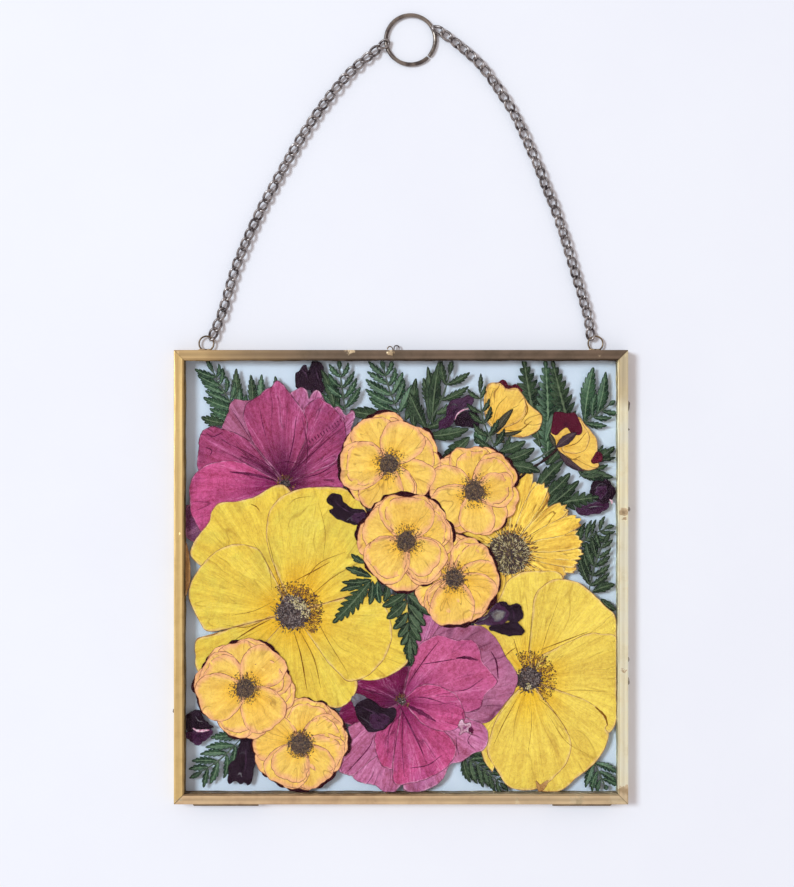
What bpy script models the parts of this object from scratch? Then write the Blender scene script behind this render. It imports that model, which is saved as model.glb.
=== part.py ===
"""Pressed flower frame: two hinged brass-edged glass panes, with dried flowers and fern between them.

It lies on its back in the XY plane with +Z out of the front glass and +Y towards its hanging chain.
The back half rests on a surface at Z = 0. The front half hinges open about the lower edge. A ring
soldered at each upper corner carries one half of the hanging chain, which lies along the surface in
a loose arch up to a split ring.

Sizes are in millimetres from the middle of the frame, and become metres where a mesh is made.
"""

import math

import bmesh
import bpy
from mathutils import Matrix, Vector

MM = 0.001
SHARP_DEGREES = 40

# Frame: each half is a folded brass channel round one pane.
FRAME_SIDE = 203.0
HALF_SIDE = FRAME_SIDE / 2
CHANNEL_DEPTH = 3.4
CHANNEL_FACE = 4.6
SHEET = 0.5
CHANNEL_FOLD_RADIUS = 0.45
MITRE_GAP = 0.12
HALVES_GAP = 0.4
FRONT_Z = CHANNEL_DEPTH + HALVES_GAP
MID_Z = CHANNEL_DEPTH + HALVES_GAP / 2

# Glass
GLASS_GAP = 0.3
GLASS_THICKNESS = CHANNEL_DEPTH - 2 * (SHEET + GLASS_GAP)
GLASS_SIDE = FRAME_SIDE - 2 * (SHEET + 0.4)

# Specimens lie in thin layers between the panes, inside the channels' inner edges.
OPENING_HALF = HALF_SIDE - CHANNEL_FACE - 0.2
SPECIMEN_Z = CHANNEL_DEPTH - SHEET - GLASS_GAP + 0.06
LAYER_PITCH = 0.205
LAYER_THICKNESS = 0.14

# Hinges: rolled knuckles below the lower edge, on a pin at the mid-plane. Leaf edges are measured
# from the mid-plane, and straps run from a leaf's near edge into its knuckles.
KNUCKLE_RADIUS = 0.7
KNUCKLE_SIDES = 12
BORE_RADIUS = 0.42
PIN_RADIUS = 0.35
PIN_INSET = 0.2
LEAF_THICKNESS = 0.35
LEAF_GAP = 0.08
LEAF_FAR_EDGE = CHANNEL_DEPTH - 0.3
BACK_LEAF_NEAR_EDGE = 0.6
FRONT_LEAF_NEAR_EDGE = 0.9
STRAP_OVERLAP = 0.3
STRAP_ROOT = 0.25
STRAP_REACH = 0.92
KNUCKLE_GAP = 0.15
HINGE_Y = -(HALF_SIDE + 0.1 + KNUCKLE_RADIUS)
HINGE_SPANS = {"left": (-93.0, -64.0), "right": (68.0, 94.0)}

# Wire fittings on the upper edge
RING_X = 87.6
RING_RADIUS = 3.3
RING_WIRE_RADIUS = 0.36
RING_CENTRE_Y = HALF_SIDE + 3.2
EDGE_GAP = 0.06
BACK_WIRE_Z = CHANNEL_DEPTH / 2
FRONT_WIRE_Z = FRONT_Z + CHANNEL_DEPTH / 2
LATCH_WIRE_RADIUS = 0.3
BACK_EYE_SPAN = (-3.1, -0.9)
BACK_EYE_RISE = 1.8
BACK_EYE_CORNER = 0.55
FRONT_EYE_X = -4.9
FRONT_EYE_RADIUS = 1.2
FRONT_EYE_RISE = 1.3

# Hanging chain and split ring
CHAIN_RADIUS = 2.2
CHAIN_Z = CHAIN_RADIUS + 0.1
CHAIN_POINTS_BETWEEN = 20
CHAIN_SPACING = 10.0
TOP_RING_CENTRE = (4.3, 241.7)
TOP_RING_RADIUS = 11.1
TOP_RING_WIRE_RADIUS = 0.9
TOP_RING_Z = TOP_RING_WIRE_RADIUS + 0.02
CHAIN_ROUTES = {
    "left": (
        (-85.1, 107.8), (-83.4, 111.2), (-80.3, 119.4), (-77.6, 128.4), (-74.1, 139.9),
        (-69.0, 152.2), (-62.8, 165.5), (-56.7, 176.8), (-49.5, 189.7), (-42.3, 201.5),
        (-34.1, 213.3), (-24.9, 224.6), (-16.7, 232.3), (-8.5, 238.8),
    ),
    "right": (
        (17.6, 245.2), (21.4, 242.6), (28.6, 236.9), (35.8, 230.2), (42.0, 222.0),
        (48.1, 212.8), (53.2, 203.6), (57.4, 194.3), (61.4, 185.1), (65.5, 174.8),
        (69.6, 164.5), (72.7, 155.3), (75.8, 145.0), (78.9, 134.8), (82.0, 124.5),
        (84.2, 116.3), (85.3, 108.5),
    ),
}

# The lowest and highest points, hinge knuckle and corner ring, straddle Y = 0.
BOX_LOW_Y = HINGE_Y - KNUCKLE_RADIUS
BOX_HIGH_Y = RING_CENTRE_Y + RING_RADIUS + RING_WIRE_RADIUS
FRAME_CENTRE_Y = -(BOX_LOW_Y + BOX_HIGH_Y) / 2

# Flowers: centre, layer, least radius, and petals as (angle, length, half spread in degrees).
PETAL_ROUNDNESS = 0.3
FLOWERS = {
    "magenta_flower_upper": (
        (-51.4, 44.3), 2, 22,
        ((42, 34, 34), (88, 41, 34), (130, 40, 30), (158, 44, 28), (193, 45, 26), (212, 44, 26),
         (280, 26, 40)),
    ),
    "magenta_flower_lower": (
        (1.3, -53.6), 4, 24,
        ((16, 50, 28), (45, 44, 28), (78, 37, 28), (112, 28, 30), (175, 26, 30), (214, 34, 28), (243, 43, 26),
         (271, 43, 26), (302, 43, 26), (324, 43, 26)),
    ),
    "yellow_flower_left": (
        (-49.2, -16.5), 5, 26,
        ((-67, 43, 34), (-18, 51, 36), (30, 46, 34), (72, 56, 36), (122, 50, 36), (167, 47, 34),
         (221, 45, 34)),
    ),
    "yellow_flower_right": (
        (56.8, -46.0), 3, 24,
        ((13, 44, 34), (58, 49, 36), (99, 43, 34), (170, 32, 40), (247, 44, 30), (279, 50, 32),
         (318, 46, 36)),
    ),
}
DAISY_CENTRE = (47.8, 12.1)
DAISY_LAYER = 2
DAISY_RAYS = 24
DAISY_RAY_LENGTH = 34.5
DAISY_DISC_RADIUS = 14.0
DAISY_RAY_SHARE = (0.3, 0.7)
# Roses: centre, layer and radius.
ROSE_LOBES = 9
ROSE_SCALLOP = 0.07
ROSES = {
    "rose_upper": ((-6.5, 51.0), 7, 22.0),
    "rose_upper_right": ((33.0, 38.6), 7, 20.4),
    "rose_middle": ((1.8, 16.1), 8, 21.4),
    "rose_middle_right": ((24.6, -2.6), 7, 19.6),
    "rose_lower_left": ((-70.6, -50.6), 8, 22.6),
    "rose_lower_middle": ((-44.6, -75.0), 7, 21.4),
}
BUD_LAYER = 3
BUDS = {
    "bud_upper": (
        (37.1, 79.1), (40.2, 67.5), (44.3, 62.1), (51.9, 62.6), (59.5, 64.4), (63.0, 69.3), (62.6, 74.2),
        (58.1, 80.5), (53.6, 84.5), (47.8, 84.5), (43.8, 87.2), (38.9, 85.8),
    ),
    "bud_right": (
        (66.2, 64.8), (66.2, 57.7), (53.2, 45.1), (54.0, 44.2), (67.1, 55.9), (72.0, 53.6), (77.8, 49.6),
        (84.5, 47.4), (89.0, 49.6), (88.5, 55.9), (85.8, 63.0), (81.4, 69.7), (78.2, 73.8), (67.5, 73.8),
    ),
}
# Florets: centre, layer, half length, half width and turn in degrees.
FLORETS = {
    "purple_floret_top_left": ((-40.2, 88.4), 0, 8.0, 6.6, 60),
    "purple_floret_top_right": ((24.1, 75.1), 2, 12.3, 5.6, 45),
    "purple_floret_middle_left": ((-25.0, 30.8), 6, 10.0, 6.2, -25),
    "purple_floret_middle_right": ((44.3, -18.8), 6, 11.5, 6.6, 0),
    "purple_floret_right": ((87.6, 35.4), 0, 9.0, 5.8, 35),
    "purple_floret_lower_middle": ((-11.6, -61.2), 6, 10.5, 6.8, -30),
    "purple_floret_lower_left": ((-89.6, -68.4), 1, 8.2, 6.2, 90),
    "purple_floret_bottom": ((-70.6, -83.6), 1, 10.5, 6.5, 80),
}
FLORET_LOBES = 5
FLORET_SCALLOP = 0.16
# Fronds: base and tip of the midrib, bend, layer, leaflet pairs, left and right leaflet reach.
FRONDS = {
    "fern_top_left": ((-56.3, 61.2), (-88.0, 95.0), -3.0, 0, 7, 14, 16),
    "fern_top_stem": ((-25.0, 73.8), (-28.2, 95.5), 0.0, 1, 4, 9, 9),
    "fern_top_middle": ((-0.4, 72.0), (-8.6, 95.5), 1.0, 0, 5, 12, 9),
    "fern_top_right": ((10.3, 64.8), (23.2, 95.5), -2.0, 1, 4, 17, 12),
    "fern_above_roses": ((46.0, 50.5), (35.8, 91.2), 5.0, 4, 7, 11, 9),
    "fern_behind_buds": ((65.7, 47.8), (64.8, 95.8), 0.0, 0, 7, 14, 12),
    "fern_corner_right": ((81.4, 68.4), (95.4, 78.2), 0.0, 0, 3, 20, 10),
    "fern_by_bud": ((80.0, 44.5), (95.4, 58.5), 0.0, 1, 4, 6, 6),
    "fern_behind_daisy": ((62.1, 26.4), (88.4, 35.0), -1.0, 1, 6, 9, 9),
    "fern_right_small": ((76.4, 10.2), (95.4, 22.7), 2.0, 0, 6, 6, 7),
    "fern_right_edge": ((86.3, -12.5), (93.4, 18.6), 1.5, 1, 6, 10, 8),
    "fern_corner_low": ((84.5, -76.2), (93.6, -95.0), 0.0, 0, 4, 9, 9),
    "fern_bottom": ((26.4, -79.6), (47.6, -95.6), 1.0, 0, 7, 10, 10),
    "fern_bottom_left": ((-69.7, -70.6), (-94.6, -90.2), 2.0, 0, 6, 9, 12),
    "fern_over_yellow": ((-10.3, -2.2), (-29.9, -20.6), 2.0, 6, 6, 11, 12),
    "fern_hanging": ((3.1, -4.9), (4.9, -40.7), 1.0, 6, 8, 12, 12),
}
FROND_LEAN = 0.55
FROND_NOTCH = 0.3
FROND_SWELL_START = 0.28
FROND_SWELL_LENGTH = 0.68
FROND_SWELL_POWER = 0.8
FROND_STALK = 0.5

BRASS = ("aged_brass", (0.66, 0.48, 0.22), 0.38, 1.0)
BRONZE = ("dark_bronze", (0.16, 0.13, 0.11), 0.42, 1.0)
GLASS = ("clear_glass", (0.86, 0.94, 0.97), 0.03, 0.0)
MAGENTA = ("magenta_petals", (0.45, 0.07, 0.20), 0.75, 0.0)
YELLOW = ("yellow_petals", (0.80, 0.56, 0.06), 0.75, 0.0)
GOLDEN = ("golden_petals", (0.90, 0.55, 0.12), 0.75, 0.0)
PURPLE = ("purple_florets", (0.05, 0.02, 0.06), 0.70, 0.0)
GREEN = ("dried_fern", (0.06, 0.11, 0.05), 0.75, 0.0)


def clear_scene():
    for obj in list(bpy.data.objects):
        bpy.data.objects.remove(obj, do_unlink=True)


def material(finish):
    """One Principled material for each finish, made the first time it is asked for."""
    name, colour, roughness, metallic = finish
    if name in bpy.data.materials:
        return bpy.data.materials[name]
    made = bpy.data.materials.new(name)
    made.use_nodes = True
    shader = made.node_tree.nodes["Principled BSDF"]
    shader.inputs["Base Color"].default_value = (*colour, 1.0)
    shader.inputs["Roughness"].default_value = roughness
    shader.inputs["Metallic"].default_value = metallic
    if finish is GLASS:
        shader.inputs["Transmission Weight"].default_value = 1.0
        shader.inputs["IOR"].default_value = 1.5
    return made


def new_empty(name, location_mm, parent=None):
    empty = bpy.data.objects.new(name, None)
    bpy.context.scene.collection.objects.link(empty)
    empty.location = Vector(location_mm) * MM
    empty.parent = parent
    return empty


def link_piece(name, data, finish, holder, offset_mm=(0.0, 0.0, 0.0)):
    """Puts a piece, whose shape is in frame coordinates, under an empty that stands at offset_mm."""
    piece = bpy.data.objects.new(name, data)
    data.materials.append(material(finish))
    bpy.context.scene.collection.objects.link(piece)
    piece.parent = holder
    piece.location = Vector(offset_mm) * -MM
    return piece


def mesh_from(name, shape):
    bmesh.ops.recalc_face_normals(shape, faces=shape.faces)
    mesh = bpy.data.meshes.new(name)
    shape.to_mesh(mesh)
    shape.free()
    mesh.shade_smooth()
    mesh.set_sharp_from_angle(angle=math.radians(SHARP_DEGREES))
    return mesh


def extruded(shape, outline, direction):
    """Adds to a bmesh the prism over a flat outline of 3-D points in millimetres."""
    corners = [shape.verts.new(Vector(point) * MM) for point in outline]
    face = shape.faces.new(corners)
    grown = bmesh.ops.extrude_face_region(shape, geom=[face])["geom"]
    moved = [item for item in grown if isinstance(item, bmesh.types.BMVert)]
    bmesh.ops.translate(shape, verts=moved, vec=Vector(direction) * MM)


def slab_mesh(name, outline, low_z, thickness):
    shape = bmesh.new()
    extruded(shape, [(x, y, low_z) for x, y in outline], (0, 0, thickness))
    return mesh_from(name, shape)


def wire(name, points, radius, closed, finish, holder, resolution=2, offset_mm=(0.0, 0.0, 0.0)):
    """A round wire or tube along points in millimetres, as a curve with a bevel and filled caps."""
    curve = bpy.data.curves.new(name, "CURVE")
    curve.dimensions = "3D"
    curve.bevel_depth = radius * MM
    curve.bevel_resolution = resolution
    curve.use_fill_caps = True
    line = curve.splines.new("POLY")
    line.points.add(len(points) - 1)
    for slot, point in zip(line.points, points):
        slot.co = (*(Vector(point) * MM), 1.0)
    line.use_cyclic_u = closed
    line.use_smooth = True
    return link_piece(name, curve, finish, holder, offset_mm)


def circle(centre, radius, steps, z):
    turns = [math.tau * i / steps for i in range(steps)]
    return [(centre[0] + radius * math.cos(t), centre[1] + radius * math.sin(t), z) for t in turns]


def channel_profile():
    """The folded channel's section as (distance in from the outer face, height)."""
    fold = CHANNEL_FOLD_RADIUS
    top = CHANNEL_DEPTH
    profile = [(CHANNEL_FACE, 0.0)]
    for i in range(4):
        turn = math.radians(30 * i)
        profile.append((fold * (1 - math.sin(turn)), fold * (1 - math.cos(turn))))
    for i in range(4):
        turn = math.radians(30 * i)
        profile.append((fold * (1 - math.cos(turn)), top - fold * (1 - math.sin(turn))))
    profile += [
        (CHANNEL_FACE, top),
        (CHANNEL_FACE, top - SHEET),
        (SHEET, top - SHEET),
        (SHEET, SHEET),
        (CHANNEL_FACE, SHEET),
    ]
    return profile


def rail_mesh(name, base_z, quarter_turns):
    """A mitred length of channel along the lower edge, turned round to its own edge."""
    shape = bmesh.new()
    ends = []
    for side in (-1, 1):
        end = []
        for inward, height in channel_profile():
            x = side * (HALF_SIDE - inward - MITRE_GAP)
            end.append(shape.verts.new(Vector((x, inward - HALF_SIDE, base_z + height)) * MM))
        ends.append(end)
    first, last = ends
    count = len(first)
    for i in range(count):
        j = (i + 1) % count
        shape.faces.new((first[i], first[j], last[j], last[i]))
    shape.faces.new(first)
    shape.faces.new(last)
    turn = Matrix.Rotation(math.radians(90 * quarter_turns), 4, "Z")
    bmesh.ops.transform(shape, matrix=turn, verts=shape.verts)
    return mesh_from(name, shape)


def add_half(prefix, base_z, holder, offset_mm=(0.0, 0.0, 0.0)):
    """Four rails and a pane."""
    for quarter_turns, edge in enumerate(("bottom", "right", "top", "left")):
        name = f"{prefix}_rail_{edge}"
        link_piece(name, rail_mesh(name, base_z, quarter_turns), BRASS, holder, offset_mm)
    half = GLASS_SIDE / 2
    square = [(-half, -half), (half, -half), (half, half), (-half, half)]
    name = f"{prefix}_glass"
    pane = slab_mesh(name, square, base_z + SHEET + GLASS_GAP, GLASS_THICKNESS)
    link_piece(name, pane, GLASS, holder, offset_mm)


def knuckle(shape, start_x, end_x):
    """Adds a rolled knuckle round the hinge axis: a ring-shaped prism."""
    sides = KNUCKLE_SIDES
    rims = []
    for x in (start_x, end_x):
        for radius in (KNUCKLE_RADIUS, BORE_RADIUS):
            rim = []
            for i in range(sides):
                turn = math.tau * i / sides
                y = HINGE_Y + radius * math.cos(turn)
                z = MID_Z + radius * math.sin(turn)
                rim.append(shape.verts.new(Vector((x, y, z)) * MM))
            rims.append(rim)
    outer_a, inner_a, outer_b, inner_b = rims
    for i in range(sides):
        j = (i + 1) % sides
        shape.faces.new((outer_a[i], outer_a[j], outer_b[j], outer_b[i]))
        shape.faces.new((inner_a[i], inner_b[i], inner_b[j], inner_a[j]))
        shape.faces.new((outer_a[i], inner_a[i], inner_a[j], outer_a[j]))
        shape.faces.new((outer_b[i], outer_b[j], inner_b[j], inner_b[i]))


def helper_object(name, mesh):
    helper = bpy.data.objects.new(name, mesh)
    helper.hide_render = True
    helper.display_type = "WIRE"
    bpy.context.scene.collection.objects.link(helper)
    return helper


def join_with(piece, helper, holder, offset_mm):
    helper.parent = holder
    helper.location = Vector(offset_mm) * -MM
    union = piece.modifiers.new(helper.name, "BOOLEAN")
    union.operation = "UNION"
    union.solver = "EXACT"
    union.object = helper


def add_leaf(name, span, knuckle_spans, near_edge, side, holder, offset_mm=(0.0, 0.0, 0.0)):
    """A hinge leaf: a plate on the channel's outer face, and straps that roll into its knuckles.

    side is 1 for a leaf above the mid-plane and -1 for one below it."""
    near_y = -(HALF_SIDE + LEAF_GAP)
    far_y = near_y - LEAF_THICKNESS
    edge_z = MID_Z + side * near_edge
    low_z, high_z = sorted((edge_z, MID_Z + side * LEAF_FAR_EDGE))
    shape = bmesh.new()
    plate = [(span[0], y, z) for y, z in ((near_y, low_z), (far_y, low_z), (far_y, high_z), (near_y, high_z))]
    extruded(shape, plate, (span[1] - span[0], 0, 0))
    leaf = link_piece(name, mesh_from(name, shape), BRASS, holder, offset_mm)
    root_z = MID_Z + side * STRAP_ROOT
    end_z = edge_z + side * STRAP_OVERLAP
    strap_y = HINGE_Y + KNUCKLE_RADIUS * STRAP_REACH
    inner_y = HINGE_Y + BORE_RADIUS * 1.24
    for number, (start_x, end_x) in enumerate(knuckle_spans, 1):
        strap = bmesh.new()
        corners = ((strap_y, root_z), (inner_y, root_z), (far_y, end_z), (strap_y, end_z))
        extruded(strap, [(start_x, y, z) for y, z in corners], (end_x - start_x, 0, 0))
        strap_name = f"{name}_strap_{number}"
        join_with(leaf, helper_object(strap_name, mesh_from(strap_name, strap)), holder, offset_mm)
        roll = bmesh.new()
        knuckle(roll, start_x, end_x)
        roll_name = f"{name}_knuckle_{number}"
        join_with(leaf, helper_object(roll_name, mesh_from(roll_name, roll)), holder, offset_mm)


def add_hinge(side, back, front, front_offset):
    """Two knuckles on the back leaf, one between them on the front leaf, and the pin through all three."""
    start_x, end_x = HINGE_SPANS[side]
    third = (end_x - start_x) / 3
    gap = KNUCKLE_GAP / 2
    outer = [(start_x, start_x + third - gap), (end_x - third + gap, end_x)]
    middle = [(start_x + third + gap, end_x - third - gap)]
    span = (start_x, end_x)
    add_leaf(f"hinge_{side}_back_leaf", span, outer, BACK_LEAF_NEAR_EDGE, -1, back)
    add_leaf(f"hinge_{side}_front_leaf", span, middle, FRONT_LEAF_NEAR_EDGE, 1, front, front_offset)
    pin = [(start_x + PIN_INSET, HINGE_Y, MID_Z), (end_x - PIN_INSET, HINGE_Y, MID_Z)]
    wire(f"hinge_{side}_pin", pin, PIN_RADIUS, False, BRASS, back)


def add_corner_ring(side, sign, holder):
    """A wire ring whose lower arc is flattened along the upper edge, where it is soldered."""
    foot_y = HALF_SIDE + EDGE_GAP + RING_WIRE_RADIUS
    loop = circle((sign * RING_X, RING_CENTRE_Y), RING_RADIUS, 24, BACK_WIRE_Z)
    points = [(x, max(y, foot_y), z) for x, y, z in loop]
    wire(f"hanging_ring_{side}", points, RING_WIRE_RADIUS, True, BRASS, holder)


def add_latch(back, front, front_offset):
    """Two wire eyes side by side on the upper edge, one on each half, for a cross pin."""
    foot_y = HALF_SIDE + EDGE_GAP + LATCH_WIRE_RADIUS
    left, right = BACK_EYE_SPAN
    top_y = foot_y + BACK_EYE_RISE
    corner = BACK_EYE_CORNER
    bends = [(left, foot_y), (left, top_y - corner), (left + corner, top_y)]
    bends += [(right - corner, top_y), (right, top_y - corner), (right, foot_y)]
    back_eye = [(x, y, BACK_WIRE_Z) for x, y in bends]
    wire("latch_eye_back", back_eye, LATCH_WIRE_RADIUS, False, BRONZE, back)
    arch = []
    for i in range(13):
        turn = math.radians(15 * i)
        x = FRONT_EYE_X - FRONT_EYE_RADIUS * math.cos(turn)
        arch.append((x, foot_y + FRONT_EYE_RISE * math.sin(turn), FRONT_WIRE_Z))
    wire("latch_eye_front", arch, LATCH_WIRE_RADIUS, False, BRASS, front, offset_mm=front_offset)


def smooth_route(points, spacing):
    """Points at an even spacing along a Catmull-Rom curve through the route's own points."""
    ends = [Vector(p) for p in points]
    padded = [2 * ends[0] - ends[1], *ends, 2 * ends[-1] - ends[-2]]
    fine = []
    for a, b, c, d in zip(padded, padded[1:], padded[2:], padded[3:]):
        for i in range(CHAIN_POINTS_BETWEEN):
            t = i / CHAIN_POINTS_BETWEEN
            fine.append(0.5 * (2 * b + (c - a) * t + (2 * a - 5 * b + 4 * c - d) * t * t
                               + (3 * b - a - 3 * c + d) * t ** 3))
    fine.append(ends[-1])
    lengths = [0.0]
    for p, q in zip(fine, fine[1:]):
        lengths.append(lengths[-1] + (q - p).length)
    count = max(2, round(lengths[-1] / spacing))
    route = []
    for k in range(count + 1):
        wanted = lengths[-1] * k / count
        i = max(1, next(i for i, s in enumerate(lengths) if s >= wanted - 1e-9))
        share = (wanted - lengths[i - 1]) / (lengths[i] - lengths[i - 1])
        route.append(fine[i - 1].lerp(fine[i], share))
    return route


def add_chain(side, holder):
    route = smooth_route(CHAIN_ROUTES[side], CHAIN_SPACING)
    points = [(p.x, p.y, CHAIN_Z) for p in route]
    wire(f"chain_{side}", points, CHAIN_RADIUS, False, BRONZE, holder)


def petal_outline(centre, core, petals, steps=44):
    """A star-shaped outline: at each angle, the furthest petal's reach."""
    outline = []
    for i in range(steps):
        turn = 360.0 * i / steps
        reach = core
        for angle, length, spread in petals:
            off = (turn - angle + 180.0) % 360.0 - 180.0
            if abs(off) < spread:
                reach = max(reach, length * (1 - (off / spread) ** 2) ** PETAL_ROUNDNESS)
        rad = math.radians(turn)
        outline.append((centre[0] + reach * math.cos(rad), centre[1] + reach * math.sin(rad)))
    return outline


def daisy_outline():
    """Ray florets as long teeth round the disc."""
    centre_x, centre_y = DAISY_CENTRE
    left, right = DAISY_RAY_SHARE
    corners = ((0.0, DAISY_DISC_RADIUS), (left, DAISY_RAY_LENGTH), (right, DAISY_RAY_LENGTH))
    outline = []
    for i in range(DAISY_RAYS):
        for share, radius in corners:
            turn = math.tau * (i + share) / DAISY_RAYS
            outline.append((centre_x + radius * math.cos(turn), centre_y + radius * math.sin(turn)))
    return outline


def rose_outline(centre, radius, steps=36):
    outline = []
    for i in range(steps):
        turn = math.tau * i / steps
        reach = radius * (1 - ROSE_SCALLOP * (1 - abs(math.sin(ROSE_LOBES * turn / 2))))
        outline.append((centre[0] + reach * math.cos(turn), centre[1] + reach * math.sin(turn)))
    return outline


def floret_outline(centre, half_length, half_width, turn_degrees, steps=20):
    """An uneven lobed oval."""
    lean = math.radians(turn_degrees)
    outline = []
    for i in range(steps):
        turn = math.tau * i / steps
        lobe = 1 - FLORET_SCALLOP * (1 - math.cos(FLORET_LOBES * turn))
        along = half_length * lobe * math.cos(turn)
        across = half_width * lobe * math.sin(turn)
        outline.append((
            centre[0] + along * math.cos(lean) - across * math.sin(lean),
            centre[1] + along * math.sin(lean) + across * math.cos(lean),
        ))
    return outline


def frond_outline(base, tip, bend, pairs, left_reach, right_reach):
    """A toothed leaf: each leaflet is one tooth that leans towards the tip of a bowed midrib."""
    start = Vector(base)
    axis = Vector(tip) - start
    length = axis.length
    along = axis / length
    side = Vector((-along.y, along.x))

    def place(share, across):
        bow = bend * 4 * share * (1 - share)
        return tuple(start + along * share * length + side * (bow + across))

    edges = {}
    for sign, reach in ((1, left_reach), (-1, right_reach)):
        edge = []
        for i in range(pairs):
            share = (i + 0.5) / pairs
            swell = math.sin(math.pi * (FROND_SWELL_START + FROND_SWELL_LENGTH * share))
            full = reach * swell ** FROND_SWELL_POWER
            lean = FROND_LEAN * full / length
            notch = FROND_NOTCH * full
            edge.append(place(min(share + lean, 0.995), sign * full))
            if i < pairs - 1:
                edge.append(place(min(share + 0.5 / pairs + lean * FROND_NOTCH, 0.99), sign * notch))
        edges[sign] = edge
    foot = [place(0.0, -FROND_STALK)]
    return foot + edges[-1] + [place(1.0, 0.0)] + edges[1][::-1] + [place(0.0, FROND_STALK)]


def crosses_opening(outline):
    return any(max(abs(x), abs(y)) > OPENING_HALF for x, y in outline)


def opening_cutter(holder):
    """The space inside the channels' inner edges, which trims every specimen that reaches them."""
    half = OPENING_HALF
    square = [(-half, -half), (half, -half), (half, half), (-half, half)]
    cutter = helper_object("glass_opening", slab_mesh("glass_opening", square, 0.0, 2 * CHANNEL_DEPTH))
    cutter.parent = holder
    return cutter


def add_specimen(name, outline, layer, finish, holder, cutter):
    low_z = SPECIMEN_Z + layer * LAYER_PITCH
    piece = link_piece(name, slab_mesh(name, outline, low_z, LAYER_THICKNESS), finish, holder)
    if crosses_opening(outline):
        trim = piece.modifiers.new("trim_to_opening", "BOOLEAN")
        trim.operation = "INTERSECT"
        trim.solver = "EXACT"
        trim.object = cutter


def add_specimens(holder):
    cutter = opening_cutter(holder)
    for name, (centre, layer, core, petals) in FLOWERS.items():
        finish = MAGENTA if name.startswith("magenta") else YELLOW
        add_specimen(name, petal_outline(centre, core, petals), layer, finish, holder, cutter)
    add_specimen("daisy", daisy_outline(), DAISY_LAYER, GOLDEN, holder, cutter)
    for name, (centre, layer, radius) in ROSES.items():
        add_specimen(name, rose_outline(centre, radius), layer, GOLDEN, holder, cutter)
    for name, outline in BUDS.items():
        add_specimen(name, outline, BUD_LAYER, GOLDEN, holder, cutter)
    for name, (centre, layer, half_length, half_width, turn) in FLORETS.items():
        outline = floret_outline(centre, half_length, half_width, turn)
        add_specimen(name, outline, layer, PURPLE, holder, cutter)
    for name, (base, tip, bend, layer, pairs, left_reach, right_reach) in FRONDS.items():
        outline = frond_outline(base, tip, bend, pairs, left_reach, right_reach)
        add_specimen(name, outline, layer, GREEN, holder, cutter)


def build():
    clear_scene()
    back = new_empty("back_half", (0, FRAME_CENTRE_Y, 0))
    front_offset = (0, HINGE_Y, MID_Z)
    front = new_empty("front_half_axis", front_offset, back)
    add_half("back", 0.0, back)
    add_half("front", FRONT_Z, front, front_offset)
    for side in HINGE_SPANS:
        add_hinge(side, back, front, front_offset)
    add_latch(back, front, front_offset)
    add_specimens(back)
    for side, sign in (("left", -1), ("right", 1)):
        add_corner_ring(side, sign, back)
        add_chain(side, back)
    ring = circle(TOP_RING_CENTRE, TOP_RING_RADIUS, 36, TOP_RING_Z)
    wire("top_ring", ring, TOP_RING_WIRE_RADIUS, True, BRONZE, back)


build()
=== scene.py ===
import math
import random

import bmesh
import bpy
import numpy as np
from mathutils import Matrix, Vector


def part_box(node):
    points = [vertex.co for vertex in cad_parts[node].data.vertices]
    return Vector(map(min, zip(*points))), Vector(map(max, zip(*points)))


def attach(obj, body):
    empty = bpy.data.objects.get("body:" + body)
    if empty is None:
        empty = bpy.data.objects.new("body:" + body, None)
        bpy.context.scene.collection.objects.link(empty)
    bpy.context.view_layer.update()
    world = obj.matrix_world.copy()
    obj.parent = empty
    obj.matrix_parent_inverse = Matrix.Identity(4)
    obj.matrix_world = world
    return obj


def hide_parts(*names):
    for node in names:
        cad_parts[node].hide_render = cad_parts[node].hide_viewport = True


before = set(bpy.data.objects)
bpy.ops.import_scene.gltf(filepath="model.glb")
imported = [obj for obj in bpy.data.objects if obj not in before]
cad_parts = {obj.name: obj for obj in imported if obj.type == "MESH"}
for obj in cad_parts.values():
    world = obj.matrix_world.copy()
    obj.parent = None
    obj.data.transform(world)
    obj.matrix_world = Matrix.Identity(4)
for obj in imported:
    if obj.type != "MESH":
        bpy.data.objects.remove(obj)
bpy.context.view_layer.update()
mm = 0.001
lowerRail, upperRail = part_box("back_rail_bottom"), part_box("back_rail_top")
frameY = (lowerRail[0].y + upperRail[1].y) / 2  # the frame's own middle in the row frame
halfSide = (upperRail[1].y - lowerRail[0].y) / 2 / mm
openingHalf = 96.7  # mm, specimens are trimmed here, just inside the channels


def place(x, y, z):  # millimetres from the frame's middle to metres in the row frame
    return Vector((x * mm, y * mm + frameY, z * mm))


def tint(*display):  # 0 to 255 display values to linear colour
    linear = [c / 255 / 12.92 if c <= 10 else ((c / 255 + 0.055) / 1.055) ** 2.4 for c in display]
    return (*linear, 1.0)


# camera, floor and light
studio = {
    "viewMiddle": (-1.8, 59.7),  # mm from the frame's middle
    "viewHeight": 396.5,  # mm covered from top to bottom
    "cameraHeight": 0.65,
    "floorColor": tint(241, 243, 250),
    "fillColor": (1.0, 0.90, 0.87),
    "fillStrength": 0.62,
    "keyColor": (0.80, 0.92, 1.0),
    "keyPower": 340.0,
    "keySize": 2.24,
    "keyFrom": (-4.26, 1.60, 5.60),
}


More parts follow.
